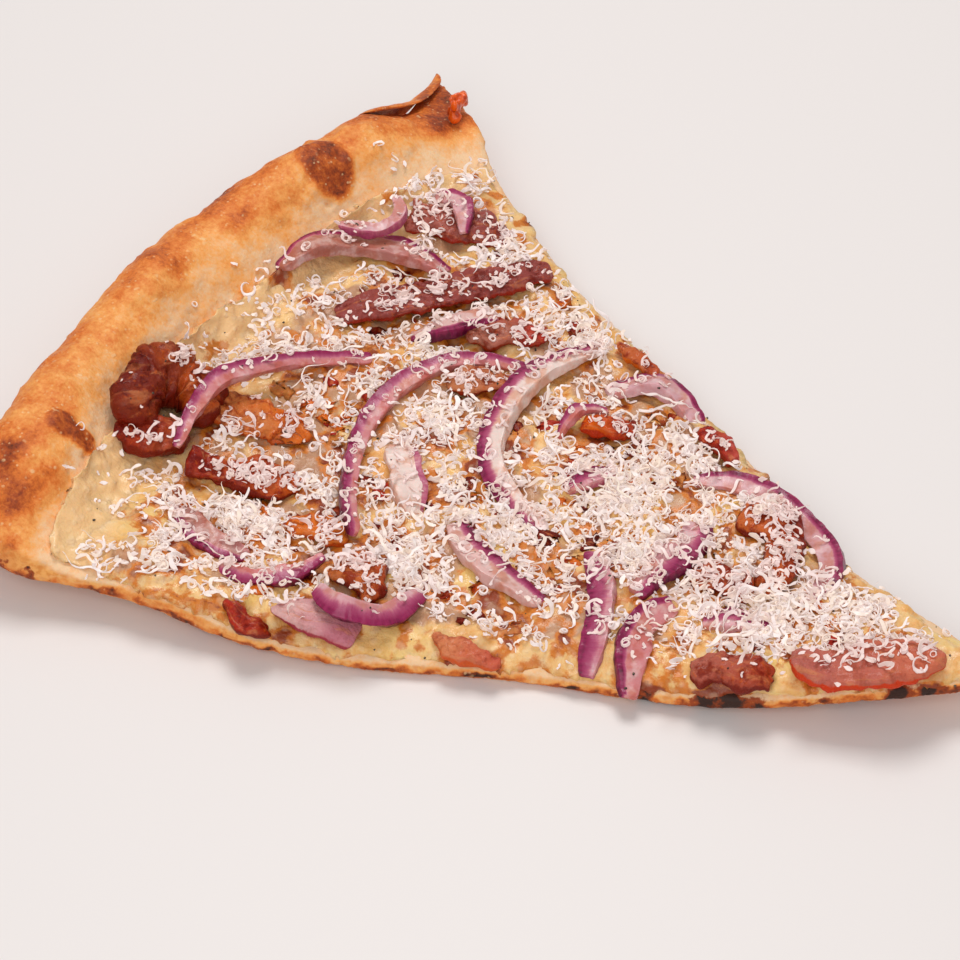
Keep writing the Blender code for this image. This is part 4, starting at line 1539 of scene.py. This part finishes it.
@dataclass
class OnionStrips:
    """The strips of red onion, each cut straight and then bent along its path.

    Attributes:
        nodes: The solids, by name.
        stations: How many times a strip is cut across, to bend it.
        rounding: How much of its thickness its long edges lose.
        knots: How many places its path is read at.
        levelling: How many of those its height is averaged over, an odd number.
        sunk: How far it is let into what it lies on.
        vein: How far apart the veins are along it.
        skinless: A strip with less purple than this has lost its dark skin.
    """

    nodes: dict[str, bpy.types.Object]
    stations: int = 26
    rounding: float = 0.13
    knots: int = 40
    levelling: int = 11
    sunk: float = 0.9
    vein: float = 0.75
    skinless: float = 0.25

    def build(self, finish: bpy.types.Material) -> list[bpy.types.Object]:
        """Models every strip.

        Args:
            finish: The onion's material.

        Returns:
            The dressed pieces.
        """
        return [self._strip(strip, finish) for strip in STRIPS]

    def _bar(self, name: str, length: float, width: float, height: float) -> bpy.types.Object:
        """A straight bar along X with rounded long edges, cut into stations.

        Args:
            name: The object's name.
            length: Its length.
            width: Its size along Y.
            height: Its size along Z.

        Returns:
            The bar.
        """
        Bench.hold()
        bpy.ops.mesh.primitive_cube_add(size=MM, location=(0, 0, 0))
        piece = bpy.context.object
        piece.name = piece.data.name = name
        bpy.ops.object.mode_set(mode="EDIT")
        bpy.ops.mesh.select_all(action="SELECT")
        bpy.ops.transform.translate(value=(0.5 * MM, 0, 0))
        bpy.ops.transform.resize(value=(length, width, height), center_override=(0, 0, 0))
        self._pick_long_edges(piece)
        bpy.ops.mesh.bevel(offset=self.rounding * min(width, height) * MM, segments=2, affect="EDGES")
        self._pick_long_edges(piece)
        bpy.ops.mesh.subdivide(number_cuts=self.stations)
        bpy.ops.object.mode_set(mode="OBJECT")
        return piece

    @staticmethod
    def _pick_long_edges(piece: bpy.types.Object) -> None:
        """Selects the edges that run along X.

        Args:
            piece: The bar, in edit mode.
        """
        bpy.ops.mesh.select_all(action="DESELECT")
        shape = bmesh.from_edit_mesh(piece.data)
        for edge in shape.edges:
            one, two = (vertex.co for vertex in edge.verts)
            run = two - one
            edge.select_set(abs(run.x) > 10 * (abs(run.y) + abs(run.z)))
        bmesh.update_edit_mesh(piece.data)

    def _strip(self, strip: Strip, finish: bpy.types.Material) -> bpy.types.Object:
        """Models one strip: a bar, bent along its path at its solid's height.

        Args:
            strip: The strip.
            finish: The onion's material.

        Returns:
            The dressed piece.
        """
        node = self.nodes[f"onion_{strip.name}"]
        line, ahead, length = self._line(strip.path)
        piece = self._bar(f"onion_{strip.name}_strip", length, strip.width, strip.height)
        local = Bench.points(piece)
        along = np.clip(local[:, 0] / length, 0, 1)
        across, above = local[:, 1] / (0.5 * strip.width), local[:, 2] / (0.5 * strip.height)
        turned, lifted = self._section(strip, length, along, across, above)
        stations = along * (len(line) - 1)
        low = np.minimum(stations.astype(int), len(line) - 2)
        part = (stations - low)[:, None]
        centre = line[low] * (1 - part) + line[low + 1] * part
        heading = ahead[low] * (1 - part) + ahead[low + 1] * part
        heading /= np.hypot(*heading.T)[:, None]
        left = np.stack([-heading[:, 1], heading[:, 0]], axis=1)
        middle = self._heights(node, line, strip)
        height = middle[low] * (1 - part[:, 0]) + middle[low + 1] * part[:, 0]
        ground = centre + turned[:, None] * left
        points = np.column_stack([ground, height + lifted - self.sunk])
        points += 0.5 * np.stack([clouds(points, 3.5, s) for s in (1, 2, 3)], axis=1)
        Bench.place(piece, points)
        self._colour(piece, strip, length, along, across, above)
        Bench.modify(piece, "SUBSURF", levels=2, render_levels=2)
        points, normals = Bench.points(piece), Bench.normals(piece)
        uneven = 0.45 * clouds(points, 3.2, 4) + 0.16 * clouds(points, 1.1, 5)
        Bench.place(piece, points + normals * uneven[:, None])
        Bench.dress(piece, finish, "red_onion", node.name)
        return piece

    @staticmethod
    def _section(
        strip: Strip, length: float, along: np.ndarray, across: np.ndarray, above: np.ndarray
    ) -> tuple[np.ndarray, np.ndarray]:
        """Tapers a strip toward its ends, cups it and leans it.

        Args:
            strip: The strip.
            length: Its length in millimetres.
            along: How far along it each vertex is, from 0 to 1.
            across: How far across it, from -1 to 1.
            above: How far up it, from -1 to 1.

        Returns:
            How far to the left of its path and how far above it each vertex goes, in millimetres.
        """
        swell = 0.4 + 0.6 * np.sqrt(np.sin(np.pi * np.clip(along, 0.02, 0.98)))
        swell *= 1 + 0.10 * np.sin(along * 11 + length)
        tilt = np.radians(strip.lean + 8 * np.sin(along * 5 + length))
        cup = 0.5 * (across**2 - 0.5) * (above > 0)
        side = 0.5 * strip.width * swell * across
        rise = (0.5 * strip.height * above + cup) * swell
        turned = side * np.cos(tilt) - rise * np.sin(tilt)
        lifted = side * np.sin(tilt) + rise * np.cos(tilt)
        return turned, lifted

    def _colour(
        self,
        piece: bpy.types.Object,
        strip: Strip,
        length: float,
        along: np.ndarray,
        across: np.ndarray,
        above: np.ndarray,
    ) -> None:
        """Stores how far each place is from the skin, where the veins run, and the flesh's colour.

        Args:
            piece: The bent strip.
            strip: Its description.
            length: Its length in millimetres.
            along: How far along it each vertex is, from 0 to 1.
            across: How far across it, from -1 to 1.
            above: How far up it, from -1 to 1.
        """
        outer = 0.5 - 0.5 * across * strip.skin.value
        depth = np.where(outer < 0.08, 0.0, outer) / strip.depth + 0.12 * (above > 0.5)
        Bench.paint(piece, "depth", depth + 0.40 * (strip.depth < self.skinless))
        veins = np.stack([along * length / self.vein, across * 0.5, above * 0.3], axis=1)
        Bench.paint(piece, "veins", veins)
        flesh = np.array(strip.flesh.value)
        if strip.flesh is CLEAR:
            flesh = flesh + ease(along - 0.4)[:, None] * (np.array(Flesh.PINK.value) - flesh)
        Bench.paint(piece, "flesh", np.broadcast_to(flesh, (len(along), 3)))

    def _line(self, path: Path) -> tuple[np.ndarray, np.ndarray, float]:
        """A smooth line through a path's points.

        Args:
            path: The points, in the cutting plan.

        Returns:
            Evenly spaced places along it, the directions there, and its length.
        """
        knots = np.array(path, float) + CENTRING
        ends = np.vstack([2 * knots[0] - knots[1], knots, 2 * knots[-1] - knots[-2]])
        dense = []
        for a, b, c, d in zip(ends, ends[1:], ends[2:], ends[3:]):
            for t in np.linspace(0, 1, 24, endpoint=False):
                bent = (2 * a - 5 * b + 4 * c - d) * t**2 + (3 * b - a - 3 * c + d) * t**3
                dense.append(0.5 * (2 * b + (c - a) * t + bent))
        dense.append(knots[-1])
        dense = np.array(dense)
        run = np.concatenate([[0], np.cumsum(np.hypot(*np.diff(dense, axis=0).T))])
        wanted = np.linspace(0, run[-1], self.knots)
        line = np.stack([np.interp(wanted, run, dense[:, axis]) for axis in (0, 1)], axis=1)
        ahead = np.gradient(line, axis=0)
        return line, ahead / np.hypot(*ahead.T)[:, None], float(run[-1])

    def _heights(self, node: bpy.types.Object, line: np.ndarray, strip: Strip) -> np.ndarray:
        """Reads a strip's height off the top of its solid.

        Args:
            node: The solid.
            line: Places along the strip's middle, in millimetres.
            strip: The strip.

        Returns:
            The height of its middle at each place.
        """
        mesh = node.data
        tree = BVHTree.FromPolygons([v.co for v in mesh.vertices], [p.vertices for p in mesh.polygons])
        tops = []
        for x, y in line:
            hit, *_ = tree.ray_cast(Vector((x * MM, y * MM, SKY)), DOWN)
            tops.append(np.nan if hit is None else hit.z / MM)
        tops = np.array(tops)
        known = np.flatnonzero(~np.isnan(tops))
        tops = np.interp(np.arange(len(tops)), known, tops[known])
        padded = np.pad(tops, self.levelling // 2, mode="edge")
        level = np.convolve(padded, np.ones(self.levelling) / self.levelling, mode="valid")
        return level - 0.5 * strip.height


@dataclass
class BaconBits:
    """Crumbs of crisp bacon and browned cheese between the larger pieces, half sunk in the cheese.

    Attributes:
        bed: What they fall on.
        count: How many there are.
        models: How many different ones are modelled.
        seed: What their places follow from.
        palette: The colours that they are drawn from.
        farthest: How far from the tip they lie at most.
        margin: How far from a cut they lie at least.
    """

    bed: Bed
    count: int = 120
    models: int = 6
    seed: int = 31
    palette: tuple[Colour, ...] = (RUSSET, RED, AMBER, AMBER, SAND, (0.62, 0.22, 0.05), UMBER)
    farthest: float = 200.0
    margin: float = 8.0

    def build(self, finish: bpy.types.Material) -> bpy.types.Object:
        """Models a few crumbs and scatters copies of them.

        Args:
            finish: The bacon's material.

        Returns:
            The dressed piece.
        """
        rng = np.random.default_rng(self.seed)
        models = [Bench.crumb(1.3, 2, 1.1, index, (1.3, 0.85, 0.5)) for index in range(self.models)]
        points: list[np.ndarray] = []
        faces: list[np.ndarray] = []
        tones: list[np.ndarray] = []
        while len(points) < self.count:
            x, y = rng.uniform(-100, 118), rng.uniform(-104, 92)
            if not self._between(x, y):
                continue
            if clouds(np.array([[x, y, 0.0]]), 16.0, 41)[0] < rng.uniform(-0.3, 0.15):
                continue
            model, shape = models[rng.integers(len(models))]
            size = rng.uniform(0.75, 1.4) ** 2
            turned = model @ about_z(rng.uniform(0, 2 * math.pi)).T * (size, size, 0.6 + 0.3 * size)
            faces.append(shape + len(model) * len(points))
            points.append(turned + (x, y, self.bed.height_at(x, y) - 0.1))
            tones.append(np.tile(self.palette[rng.integers(len(self.palette))], (len(model), 1)))
        where = np.concatenate(points)
        piece = Bench.made_of("bacon_bits", where, np.concatenate(faces))
        Bench.paint(piece, "strip", where / (3, 1.5, 1.5))
        Bench.paint(piece, "edge", np.full(len(where), 0.1))
        Bench.paint(piece, "crease", np.zeros(len(where)))
        Bench.paint(piece, "mottle", np.ones(len(where)))
        Bench.paint(piece, "face", np.concatenate(tones))
        Bench.paint(piece, "fringe", 0.6 * np.concatenate(tones))
        Bench.dress(piece, finish, "cooked_bacon")
        return piece

    def _between(self, x: float, y: float) -> bool:
        """Whether a place is bare cheese, well inside the slice.

        Args:
            x: Its X in millimetres.
            y: Its Y.

        Returns:
            True where a crumb may lie.
        """
        radius, share = Plan.polar(np.array([[x, y, 0.0]]))
        edge = min(share[0], 1 - share[0]) * Plan.width(radius[0])
        on_cheese = self.bed.layer_at(x, y) is Layer.CHEESE
        return on_cheese and radius[0] <= self.farthest and edge >= self.margin


class Layer(Enum):
    """What a small thing can land on."""

    NOTHING = 0
    DOUGH = 1
    CHEESE = 2
    BACON = 3
    ONION = 4


@dataclass
class Bed:
    """The height of whatever a small thing would land on, on a fine grid.

    Attributes:
        low: Where the grid starts, along X and Y.
        high: Where it ends.
        step: How far apart its places are.
    """

    low: float = -130.0
    high: float = 130.0
    step: float = 0.5

    def __post_init__(self) -> None:
        """Makes an empty grid."""
        count = int((self.high - self.low) / self.step) + 1
        self.height = np.full((count, count), np.nan)
        self.pile = np.zeros((count, count))
        self.layer = np.zeros((count, count), dtype=int)

    def lay(self, pieces: dict[Layer, Sequence[bpy.types.Object]]) -> None:
        """Reads the tops of the pieces into the grid.

        Args:
            pieces: The pieces of each layer.
        """
        corners: list[Vector] = []
        faces: list[tuple[int, ...]] = []
        kinds: list[int] = []
        for layer, group in pieces.items():
            for piece in group:
                start = len(corners)
                corners.extend(v.co.copy() for v in piece.data.vertices)
                faces.extend(tuple(start + i for i in p.vertices) for p in piece.data.polygons)
                kinds.extend([layer.value] * len(piece.data.polygons))
        tree = BVHTree.FromPolygons(corners, faces)
        for i in range(self.height.shape[0]):
            x = (self.low + i * self.step) * MM
            for j in range(self.height.shape[1]):
                y = (self.low + j * self.step) * MM
                hit, _, face, _ = tree.ray_cast(Vector((x, y, SKY)), DOWN)
                if hit is not None:
                    self.height[i, j] = hit.z / MM
                    self.layer[i, j] = kinds[face]

    def index(self, x: np.ndarray, y: np.ndarray) -> tuple[np.ndarray, np.ndarray]:
        """Finds places on the grid.

        Args:
            x: Their X in millimetres.
            y: Their Y.

        Returns:
            The rows and columns of the nearest cells.
        """
        top = self.height.shape[0] - 1
        i = np.clip(np.rint((x - self.low) / self.step).astype(int), 0, top)
        j = np.clip(np.rint((y - self.low) / self.step).astype(int), 0, top)
        return i, j

    def at(self, x: np.ndarray, y: np.ndarray) -> np.ndarray:
        """The heights at places in millimetres, not a number where there is nothing."""
        cell = self.index(x, y)
        return self.height[cell] + self.pile[cell]

    def on(self, x: np.ndarray, y: np.ndarray) -> np.ndarray:
        """The numbers of the layers under places in millimetres."""
        return self.layer[self.index(x, y)]

    def height_at(self, x: float, y: float) -> float:
        """The height at one place in millimetres."""
        return self.at(np.array([x]), np.array([y]))[0]

    def layer_at(self, x: float, y: float) -> Layer:
        """What there is under one place in millimetres."""
        return Layer(self.on(np.array([x]), np.array([y]))[0])

    def heap(self, x: np.ndarray, y: np.ndarray, thick: float, most: float) -> None:
        """Thickens what lies at some places and beside them.

        Args:
            x: The places' X in millimetres.
            y: Their Y.
            thick: By how much.
            most: The thickest that it may get.
        """
        i, j = self.index(x, y)
        top = len(self.pile) - 1
        for across in (-1, 0, 1):
            for along in (-1, 0, 1):
                cell = (np.clip(i + across, 0, top), np.clip(j + along, 0, top))
                self.pile[cell] = np.minimum(self.pile[cell] + thick, most)


class Cut(Enum):
    """The shapes that a fine grater leaves."""

    RING = "ring"
    WAVE = "wave"
    LONG = "long"
    CRUMB = "crumb"


@dataclass(frozen=True)
class Shred:
    """One model shred, about its own middle.

    Attributes:
        points: Its vertices in millimetres.
        faces: Its faces.
    """

    points: np.ndarray
    faces: np.ndarray


@dataclass(frozen=True)
class Curl:
    """How one kind of shred is pushed forward.

    Attributes:
        count: How many shreds of the kind fall.
        steps: How many steps a shred has.
        step: How long each is, in millimetres.
        turn: How far each turns, in degrees.
        wobble: How uneven the turns are, in degrees.
        wide: The shred's width, in millimetres.
        thick: Its thickness.
    """

    count: int
    steps: int
    step: float
    turn: float
    wobble: float
    wide: float
    thick: float


CURLS = {
    Cut.CRUMB: Curl(3000, 4, 0.42, 18.0, 36.0, 0.90, 0.16),
    Cut.RING: Curl(1500, 14, 0.54, 29.0, 7.0, 0.32, 0.58),
    Cut.WAVE: Curl(1700, 10, 0.60, 14.0, 28.0, 0.86, 0.17),
    Cut.LONG: Curl(200, 18, 0.78, 9.0, 18.0, 0.60, 0.20),
}


@dataclass
class GratedCheese:
    """The heap of finely grated hard cheese: curls, waves, long threads and crumbs.

    Attributes:
        bed: What it falls on.
        models: How many shreds of each kind are modelled.
        seed: What the shreds and their places follow from.
        tries: How often a place is looked for before a shred is left out.
        steepest: The largest difference in height that a shred can lie over.
        thickening: How much each vertex of a shred thickens the heap.
        deepest: How thick the heap can get.
        crease_deg: The angle from which an edge is sharp.
        heaps: Where much fell: x, y, radius, strength.
        bare: Where little fell: x, y, radius, strength.
    """

    bed: Bed
    models: int = 6
    seed: int = 11
    tries: int = 80
    steepest: float = 3.5
    thickening: float = 0.015
    deepest: float = 1.5
    crease_deg: float = 48.0
    heaps: Spots = (
        (18, 0, 15, 2.6),
        (66, -20, 15, 2.2),
        (-50, -58, 11, 2.2),
        (-13, -50, 13, 1.8),
        (-46, 15, 11, 1.8),
        (-16, 33, 11, 1.8),
        (36, -20, 13, 1.9),
        (-28, -8, 13, 1.4),
        (52, 9, 12, 1.8),
        (2, -26, 13, 1.4),
        (-75, -14, 11, 1.0),
        (-80, 56, 10, 1.2),
        (86, -12, 13, 1.3),
        (90, -24, 9, 1.9),
        (76, -32, 8, 1.7),
        (-48, 48, 10, 0.6),
        (-66, -68, 9, 0.9),
        (30, 20, 10, 1.2),
        (50, -42, 9, 0.5),
        (-30, -66, 10, 0.9),
        (-36, -83, 5, 1.0),
        (53, -53, 4, 0.9),
    )
    bare: Spots = (
        (-76, -80, 11, 1.4),
        (2, -70, 13, 1.2),
        (-90, -42, 11, 1.3),
        (88, -41, 7, 1.2),
        (-68, -32, 8, 0.7),
        (44, -54, 7, 0.5),
        (-60, 62, 6, 0.4),
        (-6, -4, 7, 0.5),
        (112, -12, 8, 0.9),
    )

    def build(self, finish: bpy.types.Material) -> list[bpy.types.Object]:
        """Models the shreds and heaps copies of them on the slice.

        Args:
            finish: The grated cheese's material.

        Returns:
            The dressed pieces, one for each shape.
        """
        rng = np.random.default_rng(self.seed)
        models = {cut: [self._model(cut, rng) for _ in range(self.models)] for cut in Cut}
        order = [cut for cut, curl in CURLS.items() for _ in range(curl.count)]
        rng.shuffle(order)
        parts: dict[Cut, list[np.ndarray]] = {cut: [] for cut in Cut}
        faces: dict[Cut, list[np.ndarray]] = {cut: [] for cut in Cut}
        tints: dict[Cut, list[np.ndarray]] = {cut: [] for cut in Cut}
        start = dict.fromkeys(Cut, 0)
        for cut in order:
            shred = models[cut][rng.integers(len(models[cut]))]
            mirrored = rng.uniform() < 0.5
            laid = self._drop(shred, mirrored, rng)
            if laid is None:
                continue
            parts[cut].append(laid[0])
            tints[cut].append(laid[1])
            faces[cut].append((shred.faces[:, ::-1] if mirrored else shred.faces) + start[cut])
            start[cut] += len(laid[0])
        made = []
        for cut in Cut:
            piece = Bench.made_of(
                f"grated_{cut.value}s", np.concatenate(parts[cut]), np.concatenate(faces[cut])
            )
            shade = np.repeat(rng.uniform(0, 1, len(parts[cut])), [len(part) for part in parts[cut]])
            Bench.paint(piece, "warmth", shade)
            # How much painted pink of the toppings below shows through each shred
            Bench.paint(piece, "painted_show_through", np.concatenate(tints[cut]))
            Bench.dress(piece, finish, "melted_cheese")
            Bench.hold(piece)
            bpy.ops.object.shade_smooth_by_angle(angle=math.radians(self.crease_deg))
            made.append(piece)
        return made

    def _model(self, cut: Cut, rng: np.random.Generator) -> Shred:
        """Models one shred: a small face pushed forward again and again, turned and narrowed as it goes.

        Args:
            cut: Its shape.
            rng: The source of chance.

        Returns:
            The shred.
        """
        curl = CURLS[cut]
        Bench.hold()
        bpy.ops.mesh.primitive_plane_add(size=MM, rotation=(0, math.radians(90), 0))
        piece = bpy.context.object
        bpy.ops.object.transform_apply(rotation=True)
        bpy.ops.object.mode_set(mode="EDIT")
        bpy.ops.mesh.select_all(action="SELECT")
        bpy.ops.transform.resize(value=(1, curl.wide * 0.5, curl.thick * 0.6))
        bpy.ops.transform.rotate(value=rng.normal(0, 0.35), orient_axis="X", center_override=(0, 0, 0))
        heading, climb = 0.0, 0.0
        centre = Vector((0, 0, 0))
        trend = rng.uniform(0.6, 1.3)
        for index in range(curl.steps):
            bend = curl.turn * trend * (1 + 0.4 * index / curl.steps) + rng.normal(0, curl.wobble)
            if cut is Cut.WAVE or cut is Cut.LONG:
                weave = math.sin(index * 0.5 * trend + trend * 9)
                bend = curl.turn * weave * 2.4 + rng.normal(0, curl.wobble * 0.5)
            heading += math.radians(bend)
            climb = 0.8 * climb + math.radians(rng.normal(0, 12))
            ahead = Vector((math.cos(heading), math.sin(heading), math.sin(climb))) * curl.step * MM
            bpy.ops.mesh.extrude_region_move(TRANSFORM_OT_translate={"value": ahead})
            centre += ahead
            self._turn(math.radians(bend), "Z", centre)
            self._turn(math.radians(rng.normal(0, 16)), "X" if abs(ahead.x) > abs(ahead.y) else "Y", centre)
            swell = 1 + rng.normal(0, 0.16)
            if index == 0:
                swell = 1.9
            elif index > 0.7 * curl.steps:
                swell = 0.72
            bpy.ops.transform.resize(value=(swell, swell, 0.5 + 0.5 * swell), center_override=centre)
        bpy.ops.mesh.select_all(action="SELECT")
        bpy.ops.mesh.normals_make_consistent(inside=False)
        bpy.ops.object.mode_set(mode="OBJECT")
        points, faces = Bench.taken_apart(piece)
        return Shred(points - points.mean(axis=0), faces)

    @staticmethod
    def _turn(angle: float, axis: str, centre: Vector) -> None:
        """Turns what is selected about a point, by an angle in radians."""
        bpy.ops.transform.rotate(value=-angle, orient_axis=axis, center_override=centre)

    def _drop(
        self, shred: Shred, mirrored: bool, rng: np.random.Generator
    ) -> tuple[np.ndarray, np.ndarray] | None:
        """Drops a copy of a shred at a likely place, and thickens the heap there.

        Args:
            shred: The model.
            mirrored: Whether the copy curls the other way.
            rng: The source of chance.

        Returns:
            The copy's vertices and their painted see-through pink, or None where it would fall off the slice.
        """
        for _ in range(self.tries):
            x, y = rng.uniform(-112, 118), rng.uniform(-104, 100)
            if np.isnan(self.bed.height_at(x, y)) or rng.uniform(0, 4.0) > self._density(x, y):
                continue
            size = rng.uniform(0.6, 1.3)
            turn, lean, roll = rng.uniform(0, 2 * math.pi), rng.normal(0, 0.35), rng.normal(0, 0.35)
            points = shred.points * size * (1, -1 if mirrored else 1, 1)
            points = points @ self._rotation(lean, roll, turn).T
            points[:, 0] += x
            points[:, 1] += y
            under = self.bed.at(points[:, 0], points[:, 1])
            if np.isnan(under).any():
                continue
            spread = max(float(np.ptp(under)), 0.1)
            if spread > self.steepest:
                continue
            self._drape(points, under, spread)
            layer = self.bed.on(points[:, 0], points[:, 1])
            depth = self.bed.pile[self.bed.index(points[:, 0], points[:, 1])]
            # Painted see-through light: pinker over bacon and onion, whiter where the heap is already thick
            painted_show_through = np.where(layer >= Layer.BACON.value, 0.8, 0.3) * np.clip(1 - depth / 0.9, 0, 1)
            self.bed.heap(points[:, 0], points[:, 1], self.thickening, self.deepest)
            return points, np.full(len(points), painted_show_through.mean())
        return None

    @staticmethod
    def _drape(points: np.ndarray, under: np.ndarray, spread: float) -> None:
        """Lowers a shred onto what is under it, and bends it to follow that where it is gentle.

        Args:
            points: The shred's vertices, whose heights are changed.
            under: The height under each.
            spread: The difference between the highest and the lowest of those.
        """
        level = np.percentile(under - points[:, 2], 70 if spread < 1.2 else 96)
        draped = under + points[:, 2] - np.percentile(points[:, 2], 10)
        drape = 0.6 * min(1.0, (1.1 / spread) ** 3)
        points[:, 2] = (1 - drape) * (points[:, 2] + level) + drape * draped

    def _density(self, x: float, y: float) -> float:
        """How thickly the cheese lies at a place.

        Args:
            x: Its X in millimetres.
            y: Its Y.

        Returns:
            The thickness, from 0 to about 4.
        """
        place = np.array([[x, y, 0.0]])
        radius, share = Plan.polar(place)
        edge = min(share[0], 1 - share[0]) * Plan.width(radius[0])
        patch = 1.5 * clouds(place, 9.0, 61)[0] + 1.2 * clouds(place, 4.0, 62)[0]
        amount = 0.62 + patch + 0.95 * spots(place, self.heaps)[0] - spots(place, self.bare)[0]
        if self.bed.layer_at(x, y) is Layer.ONION:
            amount *= 0.5
        amount *= float(ease((Plan.TOP - radius[0]) / 12)) + 0.010 * (radius[0] < 226)
        return max(amount, 0.03 * (radius[0] < 224)) * float(0.12 + 0.88 * ease((edge - 2) / 9))

    @staticmethod
    def _rotation(lean: float, roll: float, turn: float) -> np.ndarray:
        """The matrix that leans a shred, rolls it and then turns it.

        Args:
            lean: The angle about X, in radians.
            roll: The angle about Y.
            turn: The angle about Z.

        Returns:
            The three by three matrix.
        """
        ca, sa, cb, sb = (f(v) for v in (lean, roll) for f in (math.cos, math.sin))
        over = np.array([[1, 0, 0], [0, ca, -sa], [0, sa, ca]])
        along = np.array([[cb, 0, sb], [0, 1, 0], [-sb, 0, cb]])
        return about_z(turn) @ along @ over


@dataclass
class Seasoning:
    """Cracked pepper and bits of herb, scattered over the cheese.

    Attributes:
        bed: What it falls on.
        count: How many grains there are.
        seed: What their places follow from.
        farthest: How far from the tip they lie at most.
        sizes: The smallest and the largest.
    """

    bed: Bed
    count: int = 210
    seed: int = 23
    farthest: float = 216.0
    sizes: tuple[float, float] = (0.35, 0.95)

    def build(self, finish: bpy.types.Material) -> bpy.types.Object:
        """Models one grain and scatters copies of it.

        Args:
            finish: The pepper's material.

        Returns:
            The dressed piece.
        """
        model, shape = Bench.crumb(0.5, 1, 0.12, 4, (1.0, 0.75, 0.6))
        rng = np.random.default_rng(self.seed)
        points: list[np.ndarray] = []
        faces: list[np.ndarray] = []
        while len(points) < self.count:
            x, y = rng.uniform(-105, 118), rng.uniform(-104, 92)
            here = self.bed.height_at(x, y)
            if np.isnan(here) or Plan.polar(np.array([[x, y, 0.0]]))[0][0] > self.farthest:
                continue
            turn, size = rng.uniform(0, 2 * math.pi), rng.uniform(*self.sizes)
            faces.append(shape + len(model) * len(points))
            points.append(model @ about_z(turn).T * size + (x, y, here + 0.05))
        piece = Bench.made_of("pepper_grains", np.concatenate(points), np.concatenate(faces))
        Bench.dress(piece, finish, "melted_cheese")
        return piece


@dataclass
class Studio:
    """The table, the camera and the soft light.

    Attributes:
        target: What the camera looks at, in metres.
        azimuth: How far the camera is turned about Z, in degrees.
        elevation: How high it stands, in degrees.
        distance: How far away it is, in metres.
        view: The angle that it takes in, in degrees.
        table: The table's width, in metres.
    """

    target: tuple[float, float, float] = (-0.0074, -0.0235, 0.015)
    azimuth: float = 33.0
    elevation: float = 44.42
    distance: float = 0.638
    view: float = 20.0
    table: float = 4.0

    def build(self, finish: bpy.types.Material) -> None:
        """Sets the table, the camera, the lamps and the sky.

        Args:
            finish: The table's material.
        """
        Bench.hold()
        bpy.ops.mesh.primitive_plane_add(size=self.table, location=(0, 0, 0))
        table = bpy.context.object
        table.name = table.data.name = "table_top"
        table.data.materials.append(finish)
        level, turn = math.radians(self.elevation), math.radians(self.azimuth)
        reach, rise = math.cos(level), math.sin(level)
        back = Vector((math.sin(turn) * reach, -math.cos(turn) * reach, rise))
        bpy.ops.object.camera_add(location=Vector(self.target) + back * self.distance)
        camera = bpy.context.object
        camera.rotation_euler = (-back).to_track_quat("-Z", "Y").to_euler()
        camera.data.angle = math.radians(self.view)
        bpy.context.scene.camera = camera
        self._lamp("window", (-0.28, 0.42, 1.10), 0.5, 7.4, (1.0, 0.99, 0.975))
        self._lamp("ceiling", (0.30, -0.80, 0.75), 0.8, 5.0, (1.0, 0.985, 0.97))
        self._sky()

    @staticmethod
    def _lamp(
        name: str, place: tuple[float, float, float], size: float, power: float, colour: Colour
    ) -> None:
        """Hangs a square soft lamp that faces the slice.

        Args:
            name: The lamp's name.
            place: Where it hangs, in metres.
            size: Its width, in metres.
            power: Its power, in watts.
            colour: Its light's colour.
        """
        bpy.ops.object.light_add(type="AREA", location=place)
        lamp = bpy.context.object
        lamp.name = name
        lamp.rotation_euler = (-Vector(place)).to_track_quat("-Z", "Y").to_euler()
        lamp.data.size = size
        lamp.data.energy = power
        lamp.data.color = colour

    @staticmethod
    def _sky() -> None:
        """Sets an even pale sky, and plain colours without a film curve."""
        world = bpy.data.worlds.new("pale_room")
        world.use_nodes = True
        background = world.node_tree.nodes["Background"]
        background.inputs["Color"].default_value = (1.0, 0.985, 0.98, 1.0)
        background.inputs["Strength"].default_value = 0.40
        bpy.context.scene.world = world
        bpy.context.scene.view_settings.view_transform = "Standard"


def main() -> None:
    """Builds the slice on its solids."""
    logging.basicConfig(level=logging.INFO, format="%(message)s")
    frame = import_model()
    nodes = frame["nodes"]
    crust_finish = CrustFinish().material()
    crust = Crust(nodes)
    dough = crust.build(crust_finish)
    crust.build_lip(crust_finish)
    melt = Melt(nodes)
    cheese = melt.build(CheeseFinish().material())
    melt.build_nub(ToastedFinish().material())
    bacon_finish = BaconFinish().material()
    bacon = BaconPieces(nodes).build(bacon_finish)
    onion = OnionStrips(nodes).build(OnionFinish().material())
    bed = Bed()
    bed.lay({Layer.DOUGH: [dough], Layer.CHEESE: [cheese], Layer.BACON: bacon, Layer.ONION: onion})
    BaconBits(bed).build(bacon_finish)
    Seasoning(bed).build(SpeckFinish().material())
    GratedCheese(bed).build(GratedFinish().material())
    Studio().build(FloorFinish().material())


if __name__ == "__main__":
    main()
